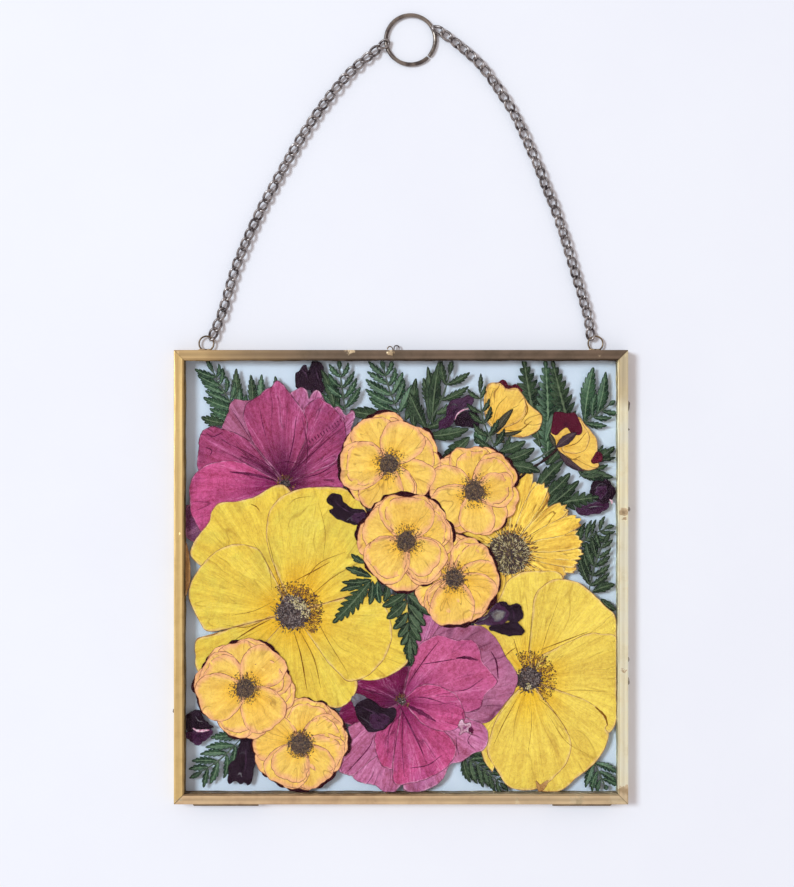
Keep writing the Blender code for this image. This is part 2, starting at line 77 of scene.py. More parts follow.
def makeStudio():
    scene = bpy.context.scene
    scene.view_settings.view_transform = "Standard"
    camera = bpy.data.cameras.new("camera")
    camera.sensor_width = 36
    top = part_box("front_glass")[1].z
    camera.lens = 36 * (studio["cameraHeight"] - top) / (studio["viewHeight"] * mm)
    eye = bpy.data.objects.new("camera", camera)
    eye.location = place(*studio["viewMiddle"], 0) + Vector((0, 0, studio["cameraHeight"]))
    scene.collection.objects.link(eye)
    scene.camera = eye

    size = 3.0
    mesh = bpy.data.meshes.new("floor")
    mesh.from_pydata([(-size, -size, 0), (size, -size, 0), (size, size, 0), (-size, size, 0)], [],
                     [(0, 1, 2, 3)])
    floor = bpy.data.objects.new("floor", mesh)
    scene.collection.objects.link(floor)
    floor.location.z = -0.00002

    world = bpy.data.worlds.new("fill")
    world.use_nodes = True
    back = world.node_tree.nodes["Background"]
    back.inputs["Color"].default_value = (*studio["fillColor"], 1)
    back.inputs["Strength"].default_value = studio["fillStrength"]
    scene.world = world

    lamp = bpy.data.lights.new("window", "AREA")
    lamp.shape = "DISK"
    lamp.size = studio["keySize"]
    lamp.energy = studio["keyPower"]
    lamp.color = studio["keyColor"]
    key = bpy.data.objects.new("window", lamp)
    key.location = studio["keyFrom"]
    key.rotation_euler = (-Vector(studio["keyFrom"])).to_track_quat("-Z", "Y").to_euler()
    scene.collection.objects.link(key)
    return floor


floor = makeStudio()
print("camera, floor and light made")


# short ways to add and join nodes
class Wiring:
    def __init__(self, tree):
        self.tree = tree

    def feed(self, socket, value):
        if isinstance(value, bpy.types.Node):
            value = value.outputs[0]
        if isinstance(value, bpy.types.NodeSocket):
            self.tree.links.new(value, socket)
        else:
            socket.default_value = value

    def add(self, kind, values=None, **settings):
        node = self.tree.nodes.new(kind)
        for key, value in settings.items():
            setattr(node, key, value)
        for key, value in (values or {}).items():
            self.feed(node.inputs[key], value)
        return node

    def calc(self, operation, a, b=0.0):
        return self.add("ShaderNodeMath", {0: a, 1: b}, operation=operation).outputs[0]

    def times(self, a, b):
        return self.calc("MULTIPLY", a, b)

    def plus(self, a, b):
        return self.calc("ADD", a, b)

    def minus(self, a, b):
        return self.calc("SUBTRACT", a, b)

    def size(self, a):
        return self.calc("ABSOLUTE", a)

    def parts(self, vector):
        return self.add("ShaderNodeSeparateXYZ", {0: vector}).outputs

    def grey(self, a):
        return self.add("ShaderNodeCombineColor", {0: a, 1: a, 2: a})

    def mix(self, share, a, b, kind="MIX"):
        node = self.add("ShaderNodeMix", data_type="RGBA", blend_type=kind)
        for slot, value in ((0, share), (6, a), (7, b)):
            self.feed(node.inputs[slot], value)
        return node.outputs[2]

    def fade(self, value, low, high, outLow=0.0, outHigh=1.0):
        return self.add("ShaderNodeMapRange", {0: value, 1: low, 2: high, 3: outLow, 4: outHigh},
                        interpolation_type="SMOOTHSTEP").outputs[0]

    def noise(self, vector, scale, detail=3.0, rough=0.55, twist=0.0):
        values = {"Vector": vector, "Scale": scale, "Detail": detail, "Roughness": rough, "Distortion": twist}
        return self.add("ShaderNodeTexNoise", values).outputs[0]

    def trait(self, name):  # a value kept on the mesh's points
        return self.add("ShaderNodeAttribute", attribute_name=name).outputs["Fac"]

    def where(self):
        return self.add("ShaderNodeTexCoord").outputs["Object"]

    def point(self, x, y, z):
        return self.add("ShaderNodeCombineXYZ", {0: x, 1: y, 2: z}).outputs[0]


def newGroup(name, ins, outs):
    tree = bpy.data.node_groups.new(name, "ShaderNodeTree")
    for label, kind, value in ins:
        socket = tree.interface.new_socket(label, in_out="INPUT", socket_type="NodeSocket" + kind)
        socket.default_value = value
    for label, kind in outs:
        tree.interface.new_socket(label, in_out="OUTPUT", socket_type="NodeSocket" + kind)
    wiring = Wiring(tree)
    return wiring, wiring.add("NodeGroupInput").outputs, wiring.add("NodeGroupOutput").inputs


def newMaterial(name, roughness=0.7, metallic=0.0):
    material = bpy.data.materials.new(name)
    material.use_nodes = True
    shader = material.node_tree.nodes["Principled BSDF"]
    shader.inputs["Roughness"].default_value = roughness
    shader.inputs["Metallic"].default_value = metallic
    return material, Wiring(material.node_tree), shader


def placeGroup(wiring, group, values):
    node = wiring.add("ShaderNodeGroup", node_tree=group)
    for key, value in values.items():
        wiring.feed(node.inputs[key], value)
    return node.outputs


def addBump(wiring, shader, height, strength, distance):
    bump = wiring.add("ShaderNodeBump", {"Height": height, "Strength": strength, "Distance": distance})
    wiring.feed(shader.inputs["Normal"], bump.outputs[0])


# effects that several materials share
def makePetalMarks():
    colors = [(n, "Color", (1, 1, 1, 1)) for n in ("Body", "Throat", "Rim", "Line", "Cloud")]
    sizes = [("Rim Width", "Float", 2.0), ("Line Width", "Float", 0.25), ("Vein Count", "Float", 40.0),
             ("Vein Depth", "Float", 0.3), ("Crease Depth", "Float", 0.5), ("Cloud Amount", "Float", 0.4),
             ("Throat Reach", "Float", 0.5), ("Mottle", "Float", 0.2), ("Fold Depth", "Float", 0.2)]
    w, inn, out = newGroup("petalMarks", colors + sizes, [("Color", "Color"), ("Height", "Float")])
    along, across, edge, seed = (w.trait(n) for n in ("along", "across", "edge", "seed"))
    seedShift = w.times(seed, 37.0)
    place3 = w.point(w.times(across, inn["Vein Count"]), w.times(along, 2.6), seedShift)
    veins = w.fade(w.noise(place3, 1.0, 3.0, 0.6, 0.15), 0.3, 0.7)
    place4 = w.point(w.times(across, w.times(inn["Vein Count"], 2.7)),
                     w.times(along, 9.0), w.plus(seedShift, 5.0))
    fibres = w.fade(w.noise(place4, 1.0, 2.0, 0.6, 0.3), 0.32, 0.68)
    fine = w.noise(w.where(), 900.0, 3.0, 0.6)
    crepe = w.fade(w.noise(w.where(), 640.0, 4.0, 0.7, 0.8), 0.36, 0.64)
    wrinkles = w.fade(w.size(w.minus(w.noise(w.where(), 210.0, 2.0, 0.55, 1.2), 0.5)), 0.0, 0.05, 1.0, 0.0)
    bend = w.noise(w.where(), 55.0, 2.0, 0.5)
    creasePlace = w.point(w.times(w.plus(across, w.times(bend, 0.12)), 8.0),
                          w.times(along, 1.3), w.plus(seedShift, 9.0))
    creaseField = w.noise(creasePlace, 1.0, 1.0, 0.5)
    offLine = w.size(w.minus(creaseField, 0.5))
    crease = w.fade(offLine, 0.0, 0.022, 1.0, 0.0)
    crease = w.times(crease, w.fade(w.noise(w.where(), 90.0, 1.0), 0.42, 0.58))
    # folds: broad streaks out from the base, painted darker and lighter as the shade and highlight of folds
    foldPlace = w.point(w.times(w.plus(across, w.times(bend, 0.16)), 11.0),
                        w.times(along, 0.9), w.plus(seedShift, 21.0))
    folds = w.fade(w.noise(foldPlace, 1.0, 2.0, 0.5, 0.2), 0.34, 0.66)
    crossField = w.noise(w.where(), 75.0, 3.0, 0.6, 0.6)
    cross = w.fade(w.size(w.minus(crossField, 0.5)), 0.0, 0.016, 1.0, 0.0)
    cross = w.times(cross, w.fade(w.noise(w.where(), 40.0, 1.0), 0.52, 0.62))
    lines = w.times(w.calc("MAXIMUM", crease, w.times(cross, 0.35)), inn["Crease Depth"])

    clouds = w.fade(w.noise(w.where(), 42.0, 3.0, 0.6, 0.4), 0.42, 0.68)
    color = w.mix(w.times(clouds, inn["Cloud Amount"]), inn["Body"], inn["Cloud"])
    throat = w.fade(along, 0.05, inn["Throat Reach"], 1.0, 0.0)
    color = w.mix(throat, color, inn["Throat"])
    rimNoise = w.fade(w.noise(w.where(), 160.0, 2.0), 0.3, 0.7, 0.35, 1.25)
    rim = w.fade(w.calc("DIVIDE", edge, w.times(inn["Rim Width"], rimNoise)), 0.0, 1.0, 1.0, 0.0)
    color = w.mix(rim, color, inn["Rim"])
    streak = w.times(w.minus(veins, 0.5), inn["Vein Depth"])
    streak = w.plus(streak, w.times(w.minus(fibres, 0.5), w.times(inn["Vein Depth"], 0.7)))
    streak = w.plus(streak, w.times(w.minus(folds, 0.5), inn["Fold Depth"]))
    grain = w.times(w.minus(crepe, 0.5), w.times(inn["Mottle"], 0.9))
    grain = w.minus(grain, w.times(wrinkles, w.times(inn["Mottle"], 0.35)))
    light = w.plus(1.0, w.plus(streak, grain))
    flecks = w.times(w.fade(w.times(fibres, folds), 0.4, 0.9), inn["Mottle"])
    color = w.mix(w.times(flecks, 0.6), color, inn["Rim"])
    warm = w.plus(w.times(light, 0.68), 0.32)  # a dark streak stays warm
    color = w.mix(1.0, color, w.add("ShaderNodeCombineColor", {0: warm, 1: light, 2: light}), "MULTIPLY")
    color = w.mix(lines, color, inn["Line"])
    # the thin dark line along each petal's edge: partly the edge's own darker colour, partly painted shade
    # where one petal lies over another
    lineNoise = w.fade(w.noise(w.where(), 260.0, 2.0), 0.32, 0.6, 0.25, 1.3)
    border = w.fade(w.calc("DIVIDE", edge, w.times(inn["Line Width"], lineNoise)), 0.35, 1.0, 1.0, 0.0)
    color = w.mix(w.times(border, 0.85), color, inn["Line"])
    height = w.plus(w.times(veins, w.times(inn["Vein Depth"], 1.4)), w.times(lines, -1.2))
    height = w.plus(height, w.plus(w.times(fine, 0.25), w.times(fibres, 0.3)))
    height = w.minus(height, w.times(wrinkles, 0.5))
    w.feed(out["Color"], color)
    w.feed(out["Height"], height)
    return w.tree


def makeAgedMetal():
    ins = [("Bright", "Color", (1, 1, 1, 1)), ("Dull", "Color", (0, 0, 0, 1)),
           ("Grime", "Color", (0, 0, 0, 1)), ("Patch Scale", "Float", 60.0), ("Grime Amount", "Float", 0.5)]
    w, inn, out = newGroup("agedMetal", ins, [("Color", "Color"), ("Roughness", "Float"),
                                              ("Height", "Float")])
    here = w.where()
    patches = w.fade(w.noise(here, inn["Patch Scale"], 4.0, 0.6), 0.35, 0.68)
    color = w.mix(patches, inn["Bright"], inn["Dull"])
    specks = w.fade(w.noise(here, 1400.0, 3.0, 0.6), 0.62, 0.74)
    cloud = w.fade(w.noise(here, 120.0, 4.0, 0.65), 0.5, 0.72)
    dirt = w.times(w.calc("MAXIMUM", w.times(specks, cloud), w.times(cloud, 0.5)), inn["Grime Amount"])
    color = w.mix(dirt, color, inn["Grime"])
    w.feed(out["Color"], color)
    w.feed(out["Roughness"], w.plus(0.28, w.plus(w.times(patches, 0.16), w.times(dirt, 0.25))))
    w.feed(out["Height"], w.noise(here, 2200.0, 3.0, 0.6))
    return w.tree


petalMarks = makePetalMarks()
agedMetal = makeAgedMetal()


# colours are display values, and widths and depths are in mm or shares
petalLooks = {
    "bigYellow": dict(body=(244, 208, 80), throat=(246, 186, 40), rim=(244, 206, 132),
                      line=(146, 84, 30), cloud=(226, 206, 88), rimWidth=1.5, lineWidth=0.34,
                      veinCount=46, veinDepth=0.18, crease=0.34, clouds=0.6, reach=0.6, mottle=0.18,
                      folds=0.2),
    "rosePetal": dict(body=(255, 210, 102), throat=(254, 192, 50), rim=(253, 186, 134),
                      line=(112, 44, 28), cloud=(254, 198, 84), rimWidth=3.4, lineWidth=0.3,
                      veinCount=26, veinDepth=0.16, crease=0.4, clouds=0.6, reach=0.7, mottle=0.13,
                      folds=0.2),
    "daisyRay": dict(body=(252, 208, 88), throat=(250, 184, 48), rim=(253, 222, 144),
                     line=(132, 72, 24), cloud=(248, 190, 66), rimWidth=0.9, lineWidth=0.3,
                     veinCount=9, veinDepth=0.42, crease=0.8, clouds=0.4, reach=0.4, mottle=0.14),
    "magenta": dict(body=(206, 86, 136), throat=(138, 36, 90), rim=(226, 152, 184),
                    line=(84, 18, 52), cloud=(178, 76, 126), rimWidth=0.8, lineWidth=0.42,
                    veinCount=34, veinDepth=0.28, crease=0.6, clouds=0.7, reach=0.66, mottle=0.42,
                    folds=0.3),
    "magentaDeep": dict(body=(180, 78, 122), throat=(92, 26, 66), rim=(212, 138, 172),
                        line=(66, 16, 42), cloud=(150, 68, 112), rimWidth=0.8, lineWidth=0.46,
                        veinCount=34, veinDepth=0.3, crease=0.6, clouds=0.7, reach=0.7, mottle=0.45,
                        folds=0.34),
    "magentaPale": dict(body=(202, 116, 156), throat=(160, 70, 122), rim=(222, 164, 190),
                        line=(104, 40, 72), cloud=(176, 98, 140), rimWidth=0.9, lineWidth=0.34,
                        veinCount=34, veinDepth=0.35, crease=0.7, clouds=0.8, reach=0.5, mottle=0.4,
                        folds=0.4),
    "magentaBrown": dict(body=(182, 104, 138), throat=(132, 54, 96), rim=(190, 124, 148),
                         line=(92, 36, 62), cloud=(154, 92, 120), rimWidth=0.8, lineWidth=0.28,
                         veinCount=34, veinDepth=0.3, crease=0.6, clouds=0.8, reach=0.5, mottle=0.4,
                         folds=0.4),
    "orangeFold": dict(body=(206, 156, 98), throat=(200, 148, 88), rim=(220, 176, 124),
                       line=(150, 84, 30), cloud=(196, 138, 66), rimWidth=0.6, lineWidth=0.25,
                       veinCount=20, veinDepth=0.35, crease=0.7, clouds=0.6, reach=0.3),
    "crimson": dict(body=(82, 20, 38), throat=(70, 16, 36), rim=(120, 36, 56),
                    line=(50, 10, 24), cloud=(70, 18, 40), rimWidth=0.5, lineWidth=0.2,
                    veinCount=18, veinDepth=0.35, crease=0.4, clouds=0.6, reach=0.3),
    "darkEdge": dict(body=(52, 14, 24), throat=(44, 12, 20), rim=(66, 20, 28),
                     line=(26, 6, 12), cloud=(36, 10, 18), rimWidth=0.4, lineWidth=0.2,
                     veinCount=18, veinDepth=0.35, crease=0.4, clouds=0.6, reach=0.3),
    # paleSheen: a pale grey patch painted on a dark floret as sheen
    "paleSheen": dict(body=(140, 134, 128), throat=(150, 146, 136), rim=(88, 76, 92),
                      line=(52, 42, 56), cloud=(106, 98, 104), rimWidth=1.4, lineWidth=0.1,
                      veinCount=16, veinDepth=0.45, crease=0.6, clouds=0.8, reach=0.5, mottle=0.5),
    "purpleBlack": dict(body=(38, 22, 34), throat=(28, 16, 26), rim=(56, 36, 52),
                        line=(14, 6, 16), cloud=(58, 40, 56), rimWidth=0.6, lineWidth=0.3,
                        veinCount=16, veinDepth=0.5, crease=0.6, clouds=0.45, reach=0.3),
    "violet": dict(body=(66, 32, 60), throat=(46, 22, 44), rim=(98, 72, 96),
                   line=(40, 22, 40), cloud=(80, 54, 78), rimWidth=0.7, lineWidth=0.3,
                   veinCount=16, veinDepth=0.5, crease=0.6, clouds=0.7, reach=0.3),
    "greyViolet": dict(body=(112, 104, 116), throat=(84, 78, 92), rim=(140, 132, 138),
                       line=(52, 42, 56), cloud=(140, 136, 124), rimWidth=0.7, lineWidth=0.3,
                       veinCount=16, veinDepth=0.45, crease=0.6, clouds=0.7, reach=0.3),
}

petalLooks["magentaLine"] = dict(petalLooks["magenta"], body=(98, 28, 66), throat=(86, 24, 60),
                                 rim=(120, 44, 86), lineWidth=0.05, rimWidth=0.1)
petalLooks["yellowLine"] = dict(petalLooks["bigYellow"], body=(150, 96, 30), throat=(140, 86, 26),
                                rim=(178, 126, 50), lineWidth=0.05, rimWidth=0.1)
petalLooks["tornPetal"] = dict(petalLooks["magentaPale"], body=(216, 160, 182), rim=(236, 200, 212),
                               cloud=(180, 110, 146))
petalLooks["violetPetal"] = dict(petalLooks["magentaBrown"], body=(110, 58, 92), cloud=(130, 84, 104))
petalLooks["magentaBright"] = dict(petalLooks["magenta"], body=(208, 98, 144), throat=(144, 44, 98),
                                   cloud=(180, 80, 126), veinDepth=0.24, folds=0.3)
petalLooks["magentaWine"] = dict(petalLooks["magentaDeep"], body=(122, 30, 76), cloud=(96, 24, 64))
petalLooks["bigYellowWarm"] = dict(petalLooks["bigYellow"], body=(248, 214, 92), cloud=(240, 206, 86),
                                   throat=(250, 196, 46))
petalLooks["budPetal"] = dict(petalLooks["rosePetal"], body=(250, 206, 98), throat=(246, 186, 70),
                              rim=(248, 200, 120), rimWidth=1.4, veinDepth=0.2, crease=0.7)
petalLooks["burgundy"] = dict(petalLooks["crimson"], body=(88, 24, 44), throat=(70, 18, 38),
                              rim=(84, 20, 40), cloud=(124, 40, 60))


def makePetalMaterial(name, look):
    material, w, shader = newMaterial(name, 0.66)
    shader.inputs["Specular IOR Level"].default_value = 0.04
    marks = placeGroup(w, petalMarks, {
        "Body": tint(*look["body"]), "Throat": tint(*look["throat"]), "Rim": tint(*look["rim"]),
        "Line": tint(*look["line"]), "Cloud": tint(*look["cloud"]),
        "Rim Width": look["rimWidth"], "Line Width": look["lineWidth"],
        "Vein Count": look["veinCount"], "Vein Depth": look["veinDepth"], "Crease Depth": look["crease"],
        "Cloud Amount": look["clouds"], "Throat Reach": look["reach"], "Mottle": look.get("mottle", 0.3),
        "Fold Depth": look.get("folds", 0.2)})
    w.feed(shader.inputs["Base Color"], marks["Color"])
    addBump(w, shader, marks["Height"], 0.7, 0.0003)
    return material


petalMaterials = {name: makePetalMaterial(name, look) for name, look in petalLooks.items()}

# leaf colours; sheen is painted light, laid in patches on one half of each leaf
leafLooks = {
    "fernLeaf": dict(dark=(22, 34, 24), body=(52, 70, 46), sheen=(92, 112, 84), rib=(110, 126, 94)),
    "fernGlossy": dict(dark=(26, 46, 32), body=(58, 86, 60), sheen=(118, 146, 120), rib=(128, 154, 118)),
    "sepal": dict(dark=(38, 36, 30), body=(70, 68, 50), sheen=(98, 92, 78), rib=(110, 104, 84)),
    "stem": dict(dark=(70, 82, 66), body=(112, 126, 104), sheen=(170, 182, 160), rib=(170, 182, 160)),
    "sepalPurple": dict(dark=(44, 28, 38), body=(74, 52, 60), sheen=(104, 82, 86), rib=(96, 76, 78)),
    "darkStem": dict(dark=(34, 18, 22), body=(60, 30, 30), sheen=(84, 50, 44), rib=(74, 42, 38)),
}


def makeLeafMaterial(name, look):
    material, w, shader = newMaterial(name, 0.6)
    shader.inputs["Specular IOR Level"].default_value = 0.1
    look = {key: tint(*value) for key, value in look.items()}
    across, edge, rib, seed = (w.trait(n) for n in ("across", "edge", "rib", "seed"))
    side = w.size(across)
    here = w.where()
    cloud = w.fade(w.noise(here, 150.0, 4.0, 0.6, 0.3), 0.38, 0.66)
    # painted light: one half of each leaf, in patches, turned towards the sheen colour as if lit from that
    # side
    paintedLitHalf = w.fade(w.plus(across, w.times(seed, 0.9)), 0.3, 1.1)
    color = w.mix(cloud, look["body"], look["dark"])
    color = w.mix(w.times(paintedLitHalf, w.fade(w.noise(here, 60.0, 2.0), 0.35, 0.65, 0.15, 0.8)),
                  color, look["sheen"])
    comb = w.size(w.minus(w.calc("FRACT", rib), 0.5))
    sideVein = w.times(w.fade(comb, 0.0, 0.1, 0.35, 0.0), w.fade(side, 0.85, 0.3))
    color = w.mix(sideVein, color, look["rib"])
    color = w.mix(w.fade(side, 0.04, 0.15, 0.75, 0.0), color, look["rib"])
    border = w.fade(edge, 0.1, 0.75, 0.95, 0.0)
    color = w.mix(border, color, look["dark"])
    fine = w.noise(here, 1300.0, 3.0, 0.6)
    grain = w.fade(fine, 0.3, 0.7, 0.82, 1.14)
    color = w.mix(1.0, color, w.grey(grain), "MULTIPLY")
    w.feed(shader.inputs["Base Color"], color)
    height = w.plus(w.fade(comb, 0.0, 0.3, 0.0, 0.6), w.fade(side, 0.0, 0.3, 0.0, 0.8))
    addBump(w, shader, w.plus(height, w.times(fine, 0.3)), 0.7, 0.0002)
    return material


leafMaterials = {name: makeLeafMaterial(name, look) for name, look in leafLooks.items()}


def makeSpeckMaterial(name, light, dark, scale=900.0, roughness=0.75):
    material, w, shader = newMaterial(name, roughness)
    spots = w.fade(w.noise(w.where(), scale, 3.0, 0.6), 0.38, 0.62)
    w.feed(shader.inputs["Base Color"], w.mix(spots, light, dark))
    addBump(w, shader, spots, 0.4, 0.0001)
    return material


specks = {
    "discDark": makeSpeckMaterial("discDark", tint(96, 76, 74), tint(34, 24, 30)),
    "discBrown": makeSpeckMaterial("discBrown", tint(132, 102, 70), tint(56, 38, 28)),
    "discTan": makeSpeckMaterial("discTan", tint(176, 146, 104), tint(120, 92, 62)),
    "heartBase": makeSpeckMaterial("heartBase", tint(84, 60, 50), tint(40, 26, 28), 600.0),
    "discCream": makeSpeckMaterial("discCream", tint(238, 226, 178), tint(196, 176, 118)),
    "discOlive": makeSpeckMaterial("discOlive", tint(168, 150, 84), tint(92, 76, 40)),
    "discGrey": makeSpeckMaterial("discGrey", tint(158, 142, 134), tint(98, 82, 82)),
    "anther": makeSpeckMaterial("anther", tint(60, 34, 24), tint(26, 14, 14)),
    "antherBrown": makeSpeckMaterial("antherBrown", tint(176, 122, 52), tint(104, 64, 30)),
    "filament": makeSpeckMaterial("filament", tint(150, 96, 36), tint(104, 62, 28)),
    # a pale pink painted highlight for the florets' edges
    "paintedHighlightPink": makeSpeckMaterial("paintedHighlightPink", tint(240, 206, 214), tint(206, 130, 160)),
}

# the four rails are one brass: their colours differ from side to side as painted reflection and shade, the
# top one dark and the right one almost white; hollow and lip set how strong the painted shade is across each
# face and on its inner lip
brassLooks = {
    "left": dict(bright=tint(230, 198, 134), dull=tint(208, 174, 112), grimeAndShade=tint(128, 100, 60),
                 amount=0.25, hollow=0.96, lip=0.7,
                 shift=(0.09, 0.13), shiftAmount=0.3, shiftColor=tint(190, 150, 96)),
    "top": dict(bright=tint(136, 116, 98), dull=tint(108, 92, 76), grimeAndShade=tint(70, 56, 44),
                amount=0.35, hollow=0.86, lip=0.95,
                shift=(0.0, -0.085), shiftAmount=0.75, shiftColor=tint(214, 178, 122)),
    "right": dict(bright=tint(255, 253, 228), dull=tint(252, 242, 204), grimeAndShade=tint(150, 136, 96),
                  amount=0.35, hollow=0.9, lip=0.55,
                  shift=(0.088, 0.102), shiftAmount=0.6, shiftColor=tint(190, 164, 116)),
    "bottom": dict(bright=tint(236, 206, 162), dull=tint(208, 174, 136), grimeAndShade=tint(120, 94, 66),
                   amount=0.35, hollow=0.8, lip=0.95,
                   shift=(0.02, 0.07), shiftAmount=0.45, shiftColor=tint(226, 206, 166)),
    "solder": dict(bright=tint(226, 204, 168), dull=tint(186, 160, 124), grimeAndShade=tint(84, 74, 64), amount=0.9),
    "wire": dict(bright=tint(150, 128, 100), dull=tint(96, 80, 64), grimeAndShade=tint(60, 48, 40), amount=0.7),
}


def makeBrass(name, look, metallic=0.8):
    material, w, shader = newMaterial(name, 0.35, metallic)
    aged = placeGroup(w, agedMetal, {"Bright": look["bright"], "Dull": look["dull"], "Grime": look["grimeAndShade"],
                                     "Grime Amount": look["amount"], "Patch Scale": look.get("scale", 60.0)})
    w.feed(shader.inputs["Base Color"], aged["Color"])
    w.feed(shader.inputs["Roughness"], aged["Roughness"])
    addBump(w, shader, aged["Height"], 0.25, 0.00004)
    return material


brass = {name: makeBrass("brass" + name.capitalize(), look) for name, look in brassLooks.items()}
bronzeLooks = {
    "dark": dict(bright=tint(178, 170, 168), dull=tint(70, 60, 62), grimeAndShade=tint(22, 18, 24),
                 amount=0.8, scale=420),
    "ring": dict(bright=tint(146, 134, 124), dull=tint(82, 72, 70), grimeAndShade=tint(28, 24, 28),
                 amount=0.7, scale=200),
}
bronze, ringBronze = (makeBrass("bronze" + name.capitalize(), look) for name, look in bronzeLooks.items())


def makeGlass(name, color):
    material = bpy.data.materials.new(name)
    material.use_nodes = True
    w = Wiring(material.node_tree)
    shader = material.node_tree.nodes["Principled BSDF"]
    output = material.node_tree.nodes["Material Output"]
    shader.inputs["Base Color"].default_value = color
    shader.inputs["Roughness"].default_value = 0.0
    shader.inputs["IOR"].default_value = 1.13  # low, as hardly anything is mirrored in these panes
    shader.inputs["Transmission Weight"].default_value = 1.0
    clear = w.add("ShaderNodeBsdfTransparent", {"Color": color})
    rays = w.add("ShaderNodeLightPath")
    soft = w.calc("MAXIMUM", rays.outputs["Is Shadow Ray"], rays.outputs["Is Diffuse Ray"])
    mixed = w.add("ShaderNodeMixShader", {0: soft, 1: shader, 2: clear})
    w.feed(output.inputs["Surface"], mixed)
    haze = w.noise(w.where(), 14.0, 2.0)
    addBump(w, shader, haze, 0.02, 0.0001)
    return material


frontPane = makeGlass("frontPane", (0.985, 0.992, 1.0, 1.0))
backPane = makeGlass("backPane", (0.95, 0.985, 1.0, 1.0))

floorMaterial, w, shader = newMaterial("floorPaint", 0.8)
shade = w.fade(w.noise(w.where(), 9.0, 4.0, 0.6), 0.3, 0.7, 0.0, 0.35)
w.feed(shader.inputs["Base Color"], w.mix(shade, studio["floorColor"], tint(235, 236, 246)))
floor.data.materials.append(floorMaterial)
print("materials made:", len(bpy.data.materials))


def toObject(name, mesh):
    made = bpy.data.objects.new(name, mesh)
    bpy.context.scene.collection.objects.link(made)
    return made


def joinPieces(pieces, name):
    pieces = [p for p in pieces if p is not None]
    for other in bpy.context.selected_objects:
        other.select_set(False)
    for piece in pieces:
        piece.select_set(True)
    bpy.context.view_layer.objects.active = pieces[0]
    if len(pieces) > 1:
        bpy.ops.object.join()
    pieces[0].name = name
    pieces[0].data.name = name
    return pieces[0]


def finishPiece(piece, body="back_half", nodes=()):
    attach(piece, body)
    if nodes:
        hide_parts(*nodes)
    return piece


def smoothLine(points, steps, closed=False):  # evenly spaced points on a curve through the given ones
    points = [np.array(p, float) for p in points]
    if closed:
        padded = [points[-1], *points, points[0], points[1]]
    else:
        padded = [2 * points[0] - points[1], *points, 2 * points[-1] - points[-2]]
    fine = []
    for a, b, c, d in zip(padded, padded[1:], padded[2:], padded[3:]):
        for t in np.linspace(0, 1, 12, endpoint=False):
            fine.append(0.5 * (2 * b + (c - a) * t + (2 * a - 5 * b + 4 * c - d) * t * t
                               + (3 * b - a - 3 * c + d) * t ** 3))
    fine.append(padded[-2] if not closed else points[0])
    fine = np.array(fine)
    run = np.concatenate([[0], np.cumsum(np.linalg.norm(np.diff(fine, axis=0), axis=1))])
    wanted = np.linspace(0, run[-1], steps + 1 if closed else steps)
    line = np.stack([np.interp(wanted, run, fine[:, k]) for k in range(fine.shape[1])], axis=1)
    return line[:-1] if closed else line


class Sheets:  # thin closed sheets gathered into one mesh, with the traits that the materials read
    def __init__(self):
        self.points, self.faces, self.slots = [], [], []
        self.traits = {n: [] for n in ("along", "across", "edge", "rib", "seed")}
        self.materials = []

    def slot(self, material):
        if material not in self.materials:
            self.materials.append(material)
        return self.materials.index(material)

    def grid(self, xy, z, thickness, material, wrap, **traits):
        # xy is rows by columns by 2. The sheet is its top, its underside and a wall round its border.
        rows, cols = xy.shape[:2]
        start = len(self.points)
        flat = xy.reshape(-1, 2)
        zs = z.reshape(-1) if isinstance(z, np.ndarray) else np.full(len(flat), z)
        for lift in (0.0, -thickness):
            for (x, y), height in zip(flat, zs):
                self.points.append((x * mm, y * mm + frameY, (height + lift) * mm))
            for key in self.traits:
                value = traits.get(key, 0.0)
                self.traits[key] += list(np.broadcast_to(value, (rows, cols)).reshape(-1))
        under = rows * cols
        index = self.slot(material)
        faces = []
        for r in range(rows - 1):
            for c in range(cols if wrap else cols - 1):
                d = (c + 1) % cols
                quad = (start + r * cols + c, start + (r + 1) * cols + c, start + (r + 1) * cols + d,
                        start + r * cols + d)
                faces.append(quad)
                faces.append(tuple(q + under for q in reversed(quad)))
        border = [(rows - 1, c, rows - 1, (c + 1) % cols) for c in range(cols if wrap else cols - 1)]
        if not wrap:
            border += [(r, 0, r + 1, 0) for r in range(rows - 1)]
            border += [(r + 1, cols - 1, r, cols - 1) for r in range(rows - 1)]
            border += [(0, c + 1, 0, c) for c in range(cols - 1)]
        for ra, ca, rb, cb in border:
            a, b = start + ra * cols + ca, start + rb * cols + cb
            faces.append((b, a, a + under, b + under))
        self.faces += faces
        self.slots += [index] * len(faces)

    def toPiece(self, name):
        mesh = bpy.data.meshes.new(name)
        mesh.from_pydata(self.points, [], self.faces)
        for key, values in self.traits.items():
            mesh.attributes.new(key, "FLOAT", "POINT").data.foreach_set("value", np.array(values, np.float32))
        for material in self.materials:
            mesh.materials.append(material)
        mesh.polygons.foreach_set("material_index", self.slots)
        mesh.shade_smooth()
        mesh.set_sharp_from_angle(angle=math.radians(50))
        return toObject(name, mesh)


def edgeDistance(points, border):
    a, b = border, np.roll(border, -1, axis=0)
    run = b - a
    size = np.maximum((run ** 2).sum(1), 1e-9)
    flat = points.reshape(-1, 1, 2)
    share = np.clip(((flat - a) * run).sum(2) / size, 0, 1)
    near = a + share[..., None] * run
    return np.sqrt(((flat - near) ** 2).sum(2)).min(1).reshape(points.shape[:-1])


